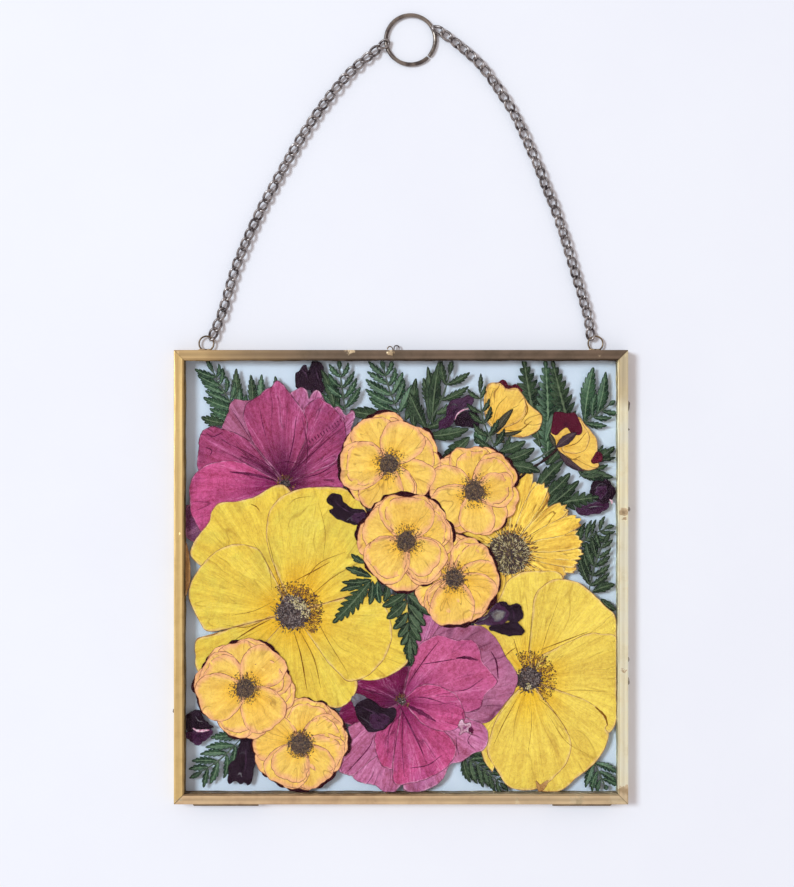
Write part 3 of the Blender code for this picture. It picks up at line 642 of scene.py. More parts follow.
def addPetal(sheets, outline, base, z, look, seed, ripple=0.2, rings=8, steps=52, closed=False,
             thickness=0.012):
    rnd = random.Random(seed)
    line = smoothLine(outline, steps, closed)
    t = np.linspace(0, 1, len(line), endpoint=not closed)
    wobble = np.zeros(len(line))
    for turns in (3, 5, 8, 13, 21):
        wobble += np.sin(math.tau * (turns * t + rnd.random())) * rnd.uniform(0.5, 1.0) / turns ** 0.55
    heading = np.gradient(line, axis=0)
    heading /= np.maximum(np.linalg.norm(heading, axis=1, keepdims=True), 1e-9)
    fade = 1.0 if closed else np.minimum(1, 4 * np.minimum(t, 1 - t))[:, None]
    line = line + np.stack([heading[:, 1], -heading[:, 0]], axis=1) * wobble[:, None] * ripple * fade
    base = np.array(base, float)
    # the fan turns anticlockwise, so that the top faces up
    if np.cross(line - base, np.roll(line, -1, axis=0) - base)[:-1].sum() < 0:
        line = line[::-1]
    shares = (1 - (1 - np.linspace(0.02, 1, rings)) ** 1.35)[:, None, None]
    points = base + shares * (line[None] - base)
    border = line if closed else np.vstack([base[None], line])
    edge = edgeDistance(points, border)
    lift = 0.006 * np.sin(points[..., 0] * 0.8 + seed) * np.sin(points[..., 1] * 0.7 + 2 * seed)
    points = np.clip(points, -openingHalf, openingHalf)
    sheets.grid(points, z + lift, thickness, paintOf(look), closed, along=shares[..., 0], across=t[None],
                edge=edge, seed=rnd.random())
    if closed:  # the small hole round the fan's middle
        cols, start = len(line), len(sheets.points) - 2 * rings * len(line)
        top = [start + c for c in range(cols)]
        sheets.faces.append(tuple(top))
        sheets.faces.append(tuple(v + rings * cols for v in reversed(top)))
        sheets.slots += [sheets.slot(paintOf(look))] * 2


def petalOutline(centre, angle, reach, halfWidth, widest=0.62, foot=0.18, lean=0.0, notch=0.0, blunt=0.7):
    # a rounded petal from the flower's middle, as points from its right side round to its left
    turn = math.radians(angle)
    out, left = np.array((math.cos(turn), math.sin(turn))), np.array((-math.sin(turn), math.cos(turn)))
    points = []
    for side in np.linspace(-1, 1, 21):
        if abs(side) > 0.6:  # the flank
            share = (1 - abs(side)) / 0.4
            along = widest * (0.1 + 0.9 * share)
            width = foot + (1 - foot) * math.sin(math.pi / 2 * share) ** 0.8
        else:
            turnIn = side / 0.6 * math.pi / 2
            along = widest + (1 - widest) * max(0, math.cos(turnIn)) ** blunt
            along -= notch / reach * math.exp(-(side / 0.1) ** 2)
            width = abs(math.sin(turnIn)) ** (0.4 + 0.6 * blunt)
        across = math.copysign(width, side) * halfWidth
        points.append(np.array(centre) + out * along * reach + left * (across + lean * along * along * reach))
    return points


def addLeaf(sheets, base, tip, width, z, look="fernLeaf", teeth=7, depth=0.35, bend=0.0, seed=0, columns=7,
            swell=0.42, thickness=0.012):
    rnd = random.Random(seed * 7 + int(abs(base[0] * 13 + tip[1] * 7)))
    base, tip = np.array(base, float), np.array(tip, float)
    along = tip - base
    length = np.linalg.norm(along)
    out = along / length
    left = np.array((-out[1], out[0]))
    steps = (0.0, 0.3, 0.6, 0.84, 0.94)
    vs = sorted({min(0.999, (k + s) / teeth) for k in range(teeth) for s in steps} | {1.0})
    rows = []
    shares = np.linspace(-1, 1, columns)
    bend = bend + rnd.uniform(-0.3, 0.3)
    for v in vs:
        phase = (v * teeth) % 1.0
        tooth = math.sin(math.pi / 2 * phase / 0.84) ** 0.8 if phase < 0.84 else (1 - phase) / 0.16
        body = (v / swell) ** 0.6 if v < swell else max(0.0, 1 - ((v - swell) / (1 - swell)) ** 1.7)
        half = width / 2 * (0.1 + 0.9 * body) * (1 - depth * (1 - tooth)) if v < 1 else 0.02
        middle = base + along * v + left * bend * 4 * v * (1 - v)
        push = 0.2 * width * np.abs(shares) ** 1.5 * (0.3 + 0.7 * tooth) * body
        rows.append(middle + left * (shares * half)[:, None] + out * push[:, None])
    points = np.array(rows)
    points[-1] = tip
    across = np.broadcast_to(shares, points.shape[:2])
    halves = np.linalg.norm(points - points[:, columns // 2][:, None], axis=2)[:, [0]]
    edge = (1 - np.abs(across)) * np.maximum(halves, 0.01)
    rib = np.array(vs)[:, None] * teeth - 0.45 * np.abs(across)
    points = points + rnd.uniform(-0.05, 0.05)
    points = np.clip(points, -openingHalf, openingHalf)
    points = points[:, ::-1]
    sheets.grid(points, z, thickness, leafMaterials[look], False, along=np.array(vs)[:, None],
                across=across[:, ::-1], edge=edge[:, ::-1], rib=rib[:, ::-1], seed=rnd.random())


def newTree(name, sockets):
    tree = bpy.data.node_groups.new(name, "GeometryNodeTree")
    tree.interface.new_socket("Geometry", in_out="OUTPUT", socket_type="NodeSocketGeometry")
    for label, kind in sockets.items():
        tree.interface.new_socket(label, in_out="INPUT", socket_type="NodeSocket" + kind)
    w = Wiring(tree)
    inn, out = w.add("NodeGroupInput").outputs, w.add("NodeGroupOutput").inputs

    def chance(low, high, step):  # a random number for each copy
        node = w.add("FunctionNodeRandomValue", {2: low, 3: high}, data_type="FLOAT")
        w.feed(node.inputs["Seed"], w.plus(inn["Seed"], float(step)))
        return node.outputs[1]

    def spreadOut(values):  # the copies, made real and painted
        copies = w.add("GeometryNodeInstanceOnPoints", values)
        real = w.add("GeometryNodeRealizeInstances", {"Geometry": copies})
        painted = w.add("GeometryNodeSetMaterial", {"Geometry": real, "Material": inn["Material"]})
        w.feed(out["Geometry"], painted)
        return tree

    return w, inn, chance, spreadOut


def makeScatter():  # small bits in a ring
    w, inn, chance, spreadOut = newTree("ringScatter", {
        "Count": "Int", "Seed": "Int", "Inner": "Float", "Outer": "Float", "Arc Start": "Float",
        "Arc End": "Float", "Length": "Float", "Width": "Float", "Thickness": "Float", "Turn": "Float",
        "Rise": "Float", "Middle": "Vector", "Material": "Material"})
    radius = w.calc("SQRT", chance(w.times(inn["Inner"], inn["Inner"]),
                                   w.times(inn["Outer"], inn["Outer"]), 1))
    angle = chance(inn["Arc Start"], inn["Arc End"], 2)
    spot = w.point(w.times(radius, w.calc("COSINE", angle)),
                   w.times(radius, w.calc("SINE", angle)), chance(0.0, inn["Rise"], 3))
    spot = w.add("ShaderNodeVectorMath", {0: spot, 1: inn["Middle"]}, operation="ADD").outputs[0]
    points = w.add("GeometryNodePoints", {"Count": inn["Count"], "Position": spot})
    bead = w.add("GeometryNodeMeshIcoSphere", {"Radius": 0.5, "Subdivisions": 1})
    turn = w.plus(angle, chance(w.times(inn["Turn"], -1.0), inn["Turn"], 4))
    grow = chance(0.6, 1.25, 5)
    size = w.point(w.times(inn["Length"], grow), w.times(inn["Width"], grow), inn["Thickness"])
    return spreadOut({"Points": points, "Instance": bead, "Rotation": w.point(0.0, 0.0, turn), "Scale": size})


scatterTree = makeScatter()


def runTree(name, tree, values, source=None):
    holder = toObject(name, source or bpy.data.meshes.new(name))
    modifier = holder.modifiers.new("build", "NODES")
    modifier.node_group = tree
    keys = {s.name: s.identifier for s in tree.interface.items_tree if s.in_out == "INPUT"}
    for key, value in values.items():
        modifier[keys[key]] = value
    graph = bpy.context.evaluated_depsgraph_get()
    mesh = bpy.data.meshes.new_from_object(holder.evaluated_get(graph))
    bpy.data.objects.remove(holder)
    mesh.shade_smooth()
    return toObject(name, mesh)


def scatter(name, centre, z, material, count, inner, outer, length, width, thickness=0.05, turn=3.2,
            rise=0.03, arc=(0, 360), seed=1):
    middle = place(centre[0], centre[1], z)
    return runTree(name, scatterTree, {
        "Count": count, "Seed": seed, "Inner": inner * mm, "Outer": outer * mm,
        "Arc Start": math.radians(arc[0]), "Arc End": math.radians(arc[1]),
        "Length": length * mm, "Width": width * mm, "Thickness": thickness * mm,
        "Turn": turn, "Rise": rise * mm, "Middle": tuple(middle), "Material": material})


print("helpers ready")


# the loose curb chain lies on the table, from corner ring to split ring to corner ring
chain = {
    "linkLength": 7.0, "linkWidth": 4.6, "wire": 1.18, "pitch": 4.8, "twist": 0.92, "height": 1.95,
    "left": [(-85.1, 107.8), (-83.4, 111.2), (-80.3, 119.4), (-77.6, 128.4), (-74.1, 139.9), (-69.0, 152.2),
             (-62.8, 165.5), (-56.7, 176.8), (-49.5, 189.7), (-42.3, 201.5), (-34.1, 213.3), (-24.9, 224.6),
             (-16.7, 232.3), (-8.5, 238.8)],
    "right": [(17.6, 245.2), (21.4, 242.6), (28.6, 236.9), (35.8, 230.2), (42.0, 222.0), (48.1, 212.8),
              (53.2, 203.6), (57.4, 194.3), (61.4, 185.1), (65.5, 174.8), (69.6, 164.5), (72.7, 155.3),
              (75.8, 145.0), (78.9, 134.8), (82.0, 124.5), (84.2, 116.3), (85.3, 108.5)],
    "leftEnds": (1.2, 0.6),  # how far the first link is from the start, and the last one past the end
    "rightEnds": (-1.2, -0.75),
    "leftLength": 0.156, "rightLength": 0.155,
}


def makeLinkTree():
    w, inn, chance, spreadOut = newTree("curbChain", {
        "Geometry": "Geometry", "Links": "Int", "Half Length": "Float", "Half Width": "Float",
        "Wire": "Float", "Twist": "Float", "Roll": "Float", "Sway": "Float", "Seed": "Int",
        "Material": "Material"})
    # one link, an oval of round wire twisted along its length
    circle = w.add("GeometryNodeCurvePrimitiveCircle", {"Resolution": 20, "Radius": 1.0})
    spot = w.parts(w.add("GeometryNodeInputPosition"))
    x = w.times(w.calc("SIGN", spot[0]), w.calc("POWER", w.size(spot[0]), 0.9))
    y = w.times(w.calc("SIGN", spot[1]), w.calc("POWER", w.size(spot[1]), 0.8))
    y = w.times(y, inn["Half Width"])
    turn = w.times(spot[0], inn["Twist"])
    bent = w.point(w.times(x, inn["Half Length"]), w.times(y, w.calc("COSINE", turn)),
                   w.times(y, w.calc("SINE", turn)))
    oval = w.add("GeometryNodeSetPosition", {"Geometry": circle, "Position": bent})
    section = w.add("GeometryNodeCurvePrimitiveCircle", {"Resolution": 8, "Radius": inn["Wire"]})
    link = w.add("GeometryNodeCurveToMesh", {"Curve": oval, "Profile Curve": section})
    # the links along the route
    route = w.add("GeometryNodeMeshToCurve", {"Mesh": inn["Geometry"]})
    even = w.add("GeometryNodeResampleCurve", {"Curve": route, "Count": inn["Links"]})
    along = w.parts(w.add("GeometryNodeInputTangent"))
    roll = chance(w.times(inn["Roll"], -1.0), inn["Roll"], 1)
    sway = chance(w.times(inn["Sway"], -1.0), inn["Sway"], 2)
    lean = w.calc("SINE", roll)
    forward = w.point(w.minus(along[0], w.times(along[1], sway)),
                      w.plus(along[1], w.times(along[0], sway)), 0.0)
    up = w.point(w.times(w.times(along[1], -1.0), lean), w.times(along[0], lean), w.calc("COSINE", roll))
    facing = w.add("FunctionNodeAxesToRotation", {"Primary Axis": forward, "Secondary Axis": up},
                   primary_axis="X", secondary_axis="Z")
    return spreadOut({"Points": even, "Instance": link, "Rotation": facing})


linkTree = makeLinkTree()


def onward(inner, outer, amount):  # the point that lies amount past outer
    way = outer - inner
    return outer + way / np.linalg.norm(way) * amount


def extend(route, start, end):  # the route, cut or lengthened at its two ends
    line = list(smoothLine(route, 80))
    first, last = onward(line[1], line[0], -start), onward(line[-2], line[-1], end)
    line = line[1:] if start > 0 else line
    line = line[:-1] if end < 0 else line
    return [first, *line, last]


def makeChain(side, seed):
    route = chain[side]
    ends = chain[side + "Ends"]
    line = extend(route, *ends)
    length = sum(math.dist(a, b) for a, b in zip(line, line[1:]))
    links = round(length / chain["pitch"]) + 1
    mesh = bpy.data.meshes.new("route")
    mesh.from_pydata([place(x, y, chain["height"]) for x, y in line],
                     [(i, i + 1) for i in range(len(line) - 1)], [])
    piece = runTree("chain_links_" + side, linkTree, {
        "Links": links, "Half Length": (chain["linkLength"] - chain["wire"]) / 2 * mm,
        "Half Width": (chain["linkWidth"] - chain["wire"]) / 2 * mm, "Wire": chain["wire"] / 2 * mm,
        "Twist": chain["twist"], "Roll": 0.34, "Sway": 0.08, "Seed": seed, "Material": bronze}, mesh)
    path = [tuple(place(x, y, chain["height"])) for x, y in smoothLine(route, 36)]
    print("chain", side, links, "links", round(length, 1), "mm")
    return piece, path


leftChain, leftPath = makeChain("left", 3)
rightChain, rightPath = makeChain("right", 11)


def tube(name, points, radius, material, sides=12, closed=False, swell=None):
    # round wire along points, in mm from the frame's middle
    points = [np.array(place(*p)) for p in points]
    count = len(points)
    verts, faces = [], []
    side = None
    for i, p in enumerate(points):
        before = points[i - 1] if i or closed else points[0]
        after = points[(i + 1) % count] if i < count - 1 or closed else points[-1]
        ahead = after - before
        ahead /= np.linalg.norm(ahead)
        if side is None:
            side = np.cross(ahead, (0.0, 0.0, 1.0))
            if np.linalg.norm(side) < 0.1:
                side = np.cross(ahead, (1.0, 0.0, 0.0))
        side = side - ahead * side.dot(ahead)
        side /= np.linalg.norm(side)
        other = np.cross(ahead, side)
        size = radius * (swell(i / (count - 1)) if swell else 1.0) * mm
        for k in range(sides):
            a = math.tau * k / sides
            verts.append(p + size * (side * math.cos(a) + other * math.sin(a)))
    for i in range(count if closed else count - 1):
        for k in range(sides):
            a, b = i * sides + k, i * sides + (k + 1) % sides
            c, d = (i + 1) % count * sides + (k + 1) % sides, (i + 1) % count * sides + k
            faces.append((a, b, c, d))
    if not closed:
        faces.append(tuple(reversed(range(sides))))
        faces.append(tuple((count - 1) * sides + k for k in range(sides)))
    mesh = bpy.data.meshes.new(name)
    mesh.from_pydata([tuple(v) for v in verts], [], faces)
    mesh.materials.append(material)
    mesh.shade_smooth()
    mesh.set_sharp_from_angle(angle=math.radians(55))
    return toObject(name, mesh)


def arc(centre, radius, start, end, steps, z):
    turns = [math.radians(a) for a in np.linspace(start, end, steps)]
    return [(centre[0] + radius * math.cos(a), centre[1] + radius * math.sin(a), z) for a in turns]


def lump(name, centre, size, material, seed=0, rough=0.25):
    # an uneven blob of solder, its centre and half sizes in mm
    rnd = random.Random(seed)
    waves = [(Vector((rnd.uniform(-1, 1), rnd.uniform(-1, 1), rnd.uniform(-1, 1))) * rnd.uniform(2, 6),
              rnd.uniform(0, math.tau)) for _ in range(5)]
    form = bmesh.new()
    bmesh.ops.create_icosphere(form, subdivisions=3, radius=1.0)
    for v in form.verts:
        grow = 1 + rough * sum(math.sin(v.co.dot(way) + shift) for way, shift in waves) / 5 * 1.6
        v.co = place(*(centre[k] + v.co[k] * size[k] * grow for k in range(3)))
    mesh = bpy.data.meshes.new(name)
    form.to_mesh(mesh)
    form.free()
    mesh.materials.append(material)
    mesh.shade_smooth()
    return toObject(name, mesh)


splitRing = {"centre": (4.3, 241.7), "radius": 11.1, "wire": 0.9, "jointAngle": -44, "gap": 3.4}


def makeSplitRing():
    start = splitRing["jointAngle"] + splitRing["gap"] / 2
    line = arc(splitRing["centre"], splitRing["radius"], start, start + 360 - splitRing["gap"], 110,
               splitRing["wire"] + 0.02)

    def filed(t):  # thinner at its two ends
        return 1 - 0.16 * max(0, 1 - min(t, 1 - t) * 60)

    return tube("split_ring", line, splitRing["wire"], ringBronze, 16, swell=filed)


ring = makeSplitRing()
finishPiece(leftChain, nodes=["chain_left"])
finishPiece(rightChain, nodes=["chain_right"])
finishPiece(ring, nodes=["top_ring"])
print("chain and split ring made")


# folded brass channel, four mitred lengths to each half
channel = {
    "depth": 3.4, "sheet": 0.5, "fold": 0.45, "face": 4.6, "mitreGap": 0.06,
    "edgeWander": 0.16,  # how far the hand-cut inner edge strays
    "faceDip": 0.07, "lip": 0.34,
    "lipWidth": 0.66,  # the face is a little hollow between its two folded edges
}
solderMarks = [  # x, y, reach, strength on the front's face, in mm from the frame's middle
    (-22, 102.4, 3.4, 0.8), (99.0, -99.0, 6.5, 1.1), (-99.6, 99.6, 2.2, 0.5), (99.2, 98.8, 2.2, 0.45),
    (-99.2, -99.2, 2.6, 0.6), (99.4, 29.0, 2.4, 1.0), (99.6, 26.0, 1.6, 0.8), (-99.4, 20.0, 1.8, 0.5),
    (99.5, -42.0, 2.2, 0.6), (78.0, -99.4, 5.0, 0.7), (52.0, -99.6, 3.0, 0.5), (-4.6, 101.6, 1.7, 0.7),
    (-60.0, -99.3, 2.0, 0.4), (88.0, 99.4, 2.2, 0.4), (-86.0, 99.6, 2.0, 0.4),
]


def makeRailMaterial(side):
    look = brassLooks[side]
    material, w, shader = newMaterial("railBrass" + side.capitalize(), 0.35, 0.72)
    plain = placeGroup(w, agedMetal, {"Bright": look["bright"], "Dull": look["dull"], "Grime": look["grimeAndShade"],
                                      "Grime Amount": look["amount"], "Patch Scale": 60.0})
    melt = placeGroup(w, agedMetal, {"Bright": brassLooks["solder"]["bright"],
                                     "Dull": brassLooks["solder"]["dull"],
                                     "Grime": brassLooks["solder"]["grimeAndShade"], "Grime Amount": 0.95,
                                     "Patch Scale": 240.0})
    here = w.where()
    ragged = w.plus(w.trait("solder"), w.times(w.minus(w.noise(here, 420.0, 4.0, 0.65), 0.5), 1.5))
    mask = w.fade(ragged, 0.42, 0.56)
    color = w.mix(mask, plain["Color"], melt["Color"])
    across = w.trait("across")
    # painted shade: the lowered inner lip darkened in the grime colour, standing in for the shade along its
    # step
    paintedLipShade = w.fade(across, 0.85, 0.862, 0.0, look["lip"])
    paintedLipShade = w.times(paintedLipShade, w.fade(w.noise(here, 110.0, 3.0), 0.36, 0.56, 0.75, 1.0))
    color = w.mix(paintedLipShade, color, look["grimeAndShade"])
    spot = w.parts(here)
    mitre = w.minus(w.size(spot[0]), w.size(w.minus(spot[1], frameY)))
    mitre = w.size(mitre)
    color = w.mix(w.fade(mitre, 0.0001, 0.0004, 0.75, 0.0), color, look["grimeAndShade"])
    level = side in ("top", "bottom")
    stretch = (60, 1500, 1) if level else (1500, 60, 1)
    drawn = w.add("ShaderNodeMapping", {"Vector": here, "Scale": stretch})
    streaks = w.fade(w.noise(drawn.outputs[0], 1.0, 3.0, 0.6), 0.3, 0.7, 0.95, 1.05)
    # painted reflection and shade: the face darker along its middle and a little lighter towards its folded
    # edges
    hollow = w.fade(w.size(w.minus(across, 0.46)), 0.02, 0.26, look["hollow"], 1.04)
    streaks = w.times(streaks, hollow)
    axis = spot[0 if level else 1]
    share = w.fade(w.plus(axis, w.times(w.noise(here, 40.0, 3.0), 0.05)), *look["shift"])
    color = w.mix(w.times(share, look["shiftAmount"]), color, look["shiftColor"])
    color = w.mix(1.0, color, w.grey(streaks), "MULTIPLY")
    w.feed(shader.inputs["Base Color"], color)
    w.feed(shader.inputs["Roughness"], w.plus(plain["Roughness"], w.times(mask, 0.16)))
    height = w.plus(w.times(plain["Height"], 0.4), w.times(mask, 0.7))
    addBump(w, shader, w.plus(height, w.times(streaks, 0.6)), 0.5, 0.00012)
    return material


def profilePoints():
    # from the face's inner edge round the outside to the inner edge of the back, then round the inside
    d, s, f, face = channel["depth"], channel["sheet"], channel["fold"], channel["face"]
    step, low = face - channel["lipWidth"], d - channel["lip"]  # a lower lip along the inner edge
    top = [(face, low - 0.04), (face - 0.05, low), (step + 0.03, low), (step, d - 0.05), (step - 0.05, d)]
    top += [(u, d) for u in (3.6, 3.0, 2.4, 1.8, 1.0)]
    turn = [(f - f * math.sin(a), d - f + f * math.cos(a)) for a in np.linspace(0, math.pi / 2, 5)]
    back = [(u, d - z) for u, z in reversed(turn)]
    inside = [(face, 0), (face, s), (s, s), (s, d - s), (face, d - s)]
    return top + turn + back + inside


def railShape(u, z, run, seed):
    # small unevenness: a hollow face, a wandering inner edge and a slow wave along the length
    if z > channel["depth"] - 0.3 and u > 0.3:
        dip = math.sin(math.pi * min(1, max(0, (u - 0.5) / 3.4)))
        z -= channel["faceDip"] * dip ** 2
        z += 0.03 * math.sin(run * 0.11 + seed) + 0.02 * math.sin(run * 0.47 + 2 * seed)
    if u > channel["face"] - 0.2:
        wave = math.sin(run * 0.19 + seed) + 0.5 * math.sin(run * 0.71 + 3 * seed)
        u += channel["edgeWander"] * wave / 1.5
    return u, z


def makeRail(half, side, seed):
    base = 0.0 if half == "back" else channel["depth"] + 0.4
    corners = {"bottom": (0, -1), "right": (1, 0), "top": (0, 1), "left": (-1, 0)}
    out = np.array(corners[side])
    way = np.array((-out[1], out[0]))
    profile = profilePoints()
    stations = np.linspace(-1, 1, 161)
    verts, faces, solder, across = [], [], [], []
    flip = half == "back"  # the back half's face looks down
    for t in stations:
        for u, z in profile:
            u2, z2 = railShape(u, z, t * halfSide, seed)
            reach = halfSide - u2 - channel["mitreGap"]
            spot = out * (halfSide - u2) + way * (t * reach)
            mark = 0.0
            if not flip:
                for x, y, size, strength in solderMarks:
                    away = (spot[0] - x) ** 2 + (spot[1] - y) ** 2
                    mark = max(mark, strength * math.exp(-away / size ** 2))
                if z > 3.0:
                    z2 += 0.07 * mark
            height = base + (channel["depth"] - z2 if flip else z2)
            verts.append(place(spot[0], spot[1], height))
            solder.append(mark)
            across.append(u / channel["face"])
    rows = len(profile)
    for i in range(len(stations) - 1):
        for k in range(rows):
            a, b = i * rows + k, i * rows + (k + 1) % rows
            quad = (a, b, b + rows, a + rows)
            faces.append(quad if flip else quad[::-1])
    ends = [tuple(range(rows)), tuple((len(stations) - 1) * rows + k for k in reversed(range(rows)))]
    faces += [e[::-1] if flip else e for e in ends]
    name = half + "_channel_" + side
    mesh = bpy.data.meshes.new(name)
    mesh.from_pydata(verts, [], faces)
    mesh.attributes.new("solder", "FLOAT", "POINT").data.foreach_set("value", solder)
    mesh.attributes.new("across", "FLOAT", "POINT").data.foreach_set("value", across)
    mesh.materials.append(railBrass[side])
    mesh.shade_smooth()
    mesh.set_sharp_from_angle(angle=math.radians(40))
    piece = toObject(name, mesh)
    return finishPiece(piece, half + "_half", [half + "_rail_" + side])


railBrass = {side: makeRailMaterial(side) for side in ("bottom", "right", "top", "left")}
for number, half in enumerate(("back", "front")):
    for turn, side in enumerate(("bottom", "right", "top", "left")):
        makeRail(half, side, 1.7 * turn + 5.1 * number)
print("rails made")

fittings = {
    "ringCentre": (87.6, 104.7), "ringRadius": 3.3, "ringWire": 0.38, "ringHeight": 1.7,
    "bits": [(101.9, 76.5, 5.4, 0.55, 4.6), (101.9, 66.0, 5.0, 0.5, 0.9), (102.0, 30.2, 5.2, 0.6, 2.0),
             (101.8, -37.0, 5.2, 0.5, 2.2), (101.8, -47.0, 5.0, 0.45, 3.2), (-101.8, -60.0, 5.0, 0.4, 1.6)],
}


def makeFittings():
    x, y = fittings["ringCentre"]
    height, wire = fittings["ringHeight"], fittings["ringWire"]
    for side, name in ((-1, "left"), (1, "right")):
        loop = arc((side * x, y), fittings["ringRadius"], -90, 270, 49, height)[:-1]
        loop = [(a, max(b, halfSide + wire + 0.06), z) for a, b, z in loop]
        made = tube("corner_ring_wire_" + name, loop, wire, brass["wire"], 12, closed=True)
        blob = lump("blob", (side * x - 1.9, halfSide + 0.35, height), (1.5, 0.62, 0.9), brass["solder"],
                    5 + side)
        foot = lump("foot", (side * x + 0.9, halfSide + 0.25, height), (1.2, 0.42, 0.7), brass["solder"],
                    9 + side)
        made = joinPieces([made, blob, foot], "corner_ring_wire_" + name)
        finishPiece(made, nodes=["hanging_ring_" + name])
    low = halfSide + 0.36
    eye = [(-3.1, low, 1.7), (-3.1, low + 0.9, 1.7), (-2.9, low + 1.55, 1.7), (-2.4, low + 1.85, 1.7),
           (-1.6, low + 1.85, 1.7), (-1.1, low + 1.55, 1.7), (-0.9, low + 0.9, 1.7), (-0.9, low, 1.7)]
    line = [tuple(p) for p in smoothLine(eye, 40)]
    made = tube("latch_loop_back", line, 0.3, bronze, 12)
    finishPiece(made, nodes=["latch_eye_back"])
    eye = [(-6.1, low, 5.5), (-5.9, low + 0.7, 5.5), (-5.3, low + 1.2, 5.5), (-4.6, low + 1.2, 5.6),
           (-3.9, low + 0.6, 6.2), (-3.6, low - 0.3, 6.95), (-3.5, low - 1.2, 7.12), (-3.5, low - 2.9, 7.12),
           (-3.45, low - 4.4, 7.1)]
    line = [tuple(p) for p in smoothLine(eye, 56)]
    made = tube("latch_loop_front", line, 0.25, brass["wire"], 12)
    spot = lump("spot", (-4.6, halfSide - 1.4, 7.13), (1.9, 1.2, 0.16), brass["solder"], 31)
    made = joinPieces([made, spot], "latch_loop_front")
    finishPiece(made, "front_half", ["latch_eye_front"])
    bits = [lump("bit", (bx, by, bz), (size, long / 2, size), bronze, 40 + i)
            for i, (bx, by, bz, size, long) in enumerate(fittings["bits"])]
    finishPiece(joinPieces(bits, "solder_bits"), "front_half")


makeFittings()


def paint(names, material):
    for name in names:
        node = bpy.data.objects[name]
        for slot in node.material_slots:
            slot.material = material


hingeParts = ("back_leaf", "front_leaf", "pin")
paint(["hinge_left_" + p for p in hingeParts], brass["wire"])
paint(["hinge_right_" + p for p in hingeParts], brass["wire"])
paint(["back_glass"], backPane)
paint(["front_glass"], frontPane)
print("fittings and panes made")


def paintOf(look):
    return petalMaterials.get(look) or leafMaterials.get(look) or specks[look]


def addStrip(sheets, points, width, z, look, taper=0.75, steps=26, seed=0, thickness=0.01):
    # a narrow ribbon, such as a crease, a stem or a folded edge
    line = smoothLine(points, steps)
    heading = np.gradient(line, axis=0)
    heading /= np.linalg.norm(heading, axis=1, keepdims=True)
    side = np.stack([-heading[:, 1], heading[:, 0]], axis=1)
    t = np.linspace(0, 1, steps)
    half = width / 2 * (1 - taper * np.abs(2 * t - 1) ** 1.6) * (1 + 0.18 * np.sin(t * 23 + seed * 3.1))
    shares = np.linspace(1, -1, 5)
    grid = line[:, None] + side[:, None] * (half[:, None] * shares)[..., None]
    grid = np.clip(grid, -openingHalf, openingHalf)
    across = np.broadcast_to(shares, grid.shape[:2])
    edge = (1 - np.abs(across)) * half[:, None]
    sheets.grid(grid, z, thickness, paintOf(look), False, along=t[:, None], across=across, edge=edge,
                rib=0.25, seed=(seed * 0.37) % 1)


def addPatch(sheets, outline, z, look, seed, base=None, ripple=0.15, steps=56):
    # a piece of its own outline, folded or torn
    points = [np.array(p, float) for p in outline]
    base = np.mean(points, axis=0) if base is None else base
    addPetal(sheets, points, base, z, look, seed, ripple, closed=True, steps=steps, rings=7)


def ringOf(centre, radius, count):
    return [(centre[0] + radius * math.cos(a), centre[1] + radius * math.sin(a))
            for a in np.linspace(0, math.tau, count, endpoint=False)]


def stack(node, count, reserve=0.2):  # heights for count sheets, from the lowest up, inside the node's layer
    low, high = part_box(node)
    low, high = low.z / mm + 0.016, high.z / mm + 0.03
    return list(np.linspace(low, low + (high - low) * (1 - reserve), count))


def finishFlower(node, name, sheets, extras=()):
    return finishPiece(joinPieces([sheets.toPiece(name), *extras], name), "back_half", [node])


def makeHeart(name, centre, z, radius, reach, dark, seed, arcs=(0, 360), spots=(), stamens=110, grain=1.0,
              fleck="discGrey", beads=2.2):
    # the middle of a flower: packed florets, cream flecks, and stamens with their anthers
    area = radius * radius / grain ** 2
    bits = [  # look, how many, from, to, length, width, lift, how far each turns, part of the circle
        ("filament", stamens, radius * 0.75, reach * 0.9, 2.1 * grain, 0.2, 0.0, 0.4, arcs),
        ("discDark", int(stamens * 0.35), radius * 0.8, radius * 1.25, 1.5 * grain, 0.24, 0.004, 0.5,
         (0, 360)),
        (dark, int(4.5 * area), 0, radius, 1.2 * grain, 0.7 * grain, 0.0, 3.2, (0, 360)),
        ("anther", int(beads * area), 0, radius * 1.06, 0.8 * grain, 0.5 * grain, 0.012, 3.2, (0, 360)),
        (fleck, int(1.6 * area), 0, radius * 0.92, 0.8 * grain, 0.36 * grain, 0.014, 3.2, (0, 360)),
        ("antherBrown", int(stamens * 0.6), radius, reach, 0.85 * grain, 0.55 * grain, 0.01, 3.2, arcs),
        ("anther", int(stamens * 0.55), radius * 0.95, reach * 1.04, 0.7 * grain, 0.5 * grain, 0.012, 3.2,
         arcs)]
    made = [scatter(name + "Bits", centre, z + lift, specks[look], count, low, high, length, width, 0.07,
                    turn, arc=part, seed=seed + k)
            for k, (look, count, low, high, length, width, lift, turn, part) in enumerate(bits)]
    for k, (x, y, size, count, look) in enumerate(spots):  # paler clumps among the florets
        spot = (centre[0] + radius * x, centre[1] + radius * y)
        made.append(scatter(name + "Clump", spot, z + 0.02, specks[look], count, 0, radius * size, 0.9, 0.6,
                            0.06, seed=seed + 10 + k))
    return made


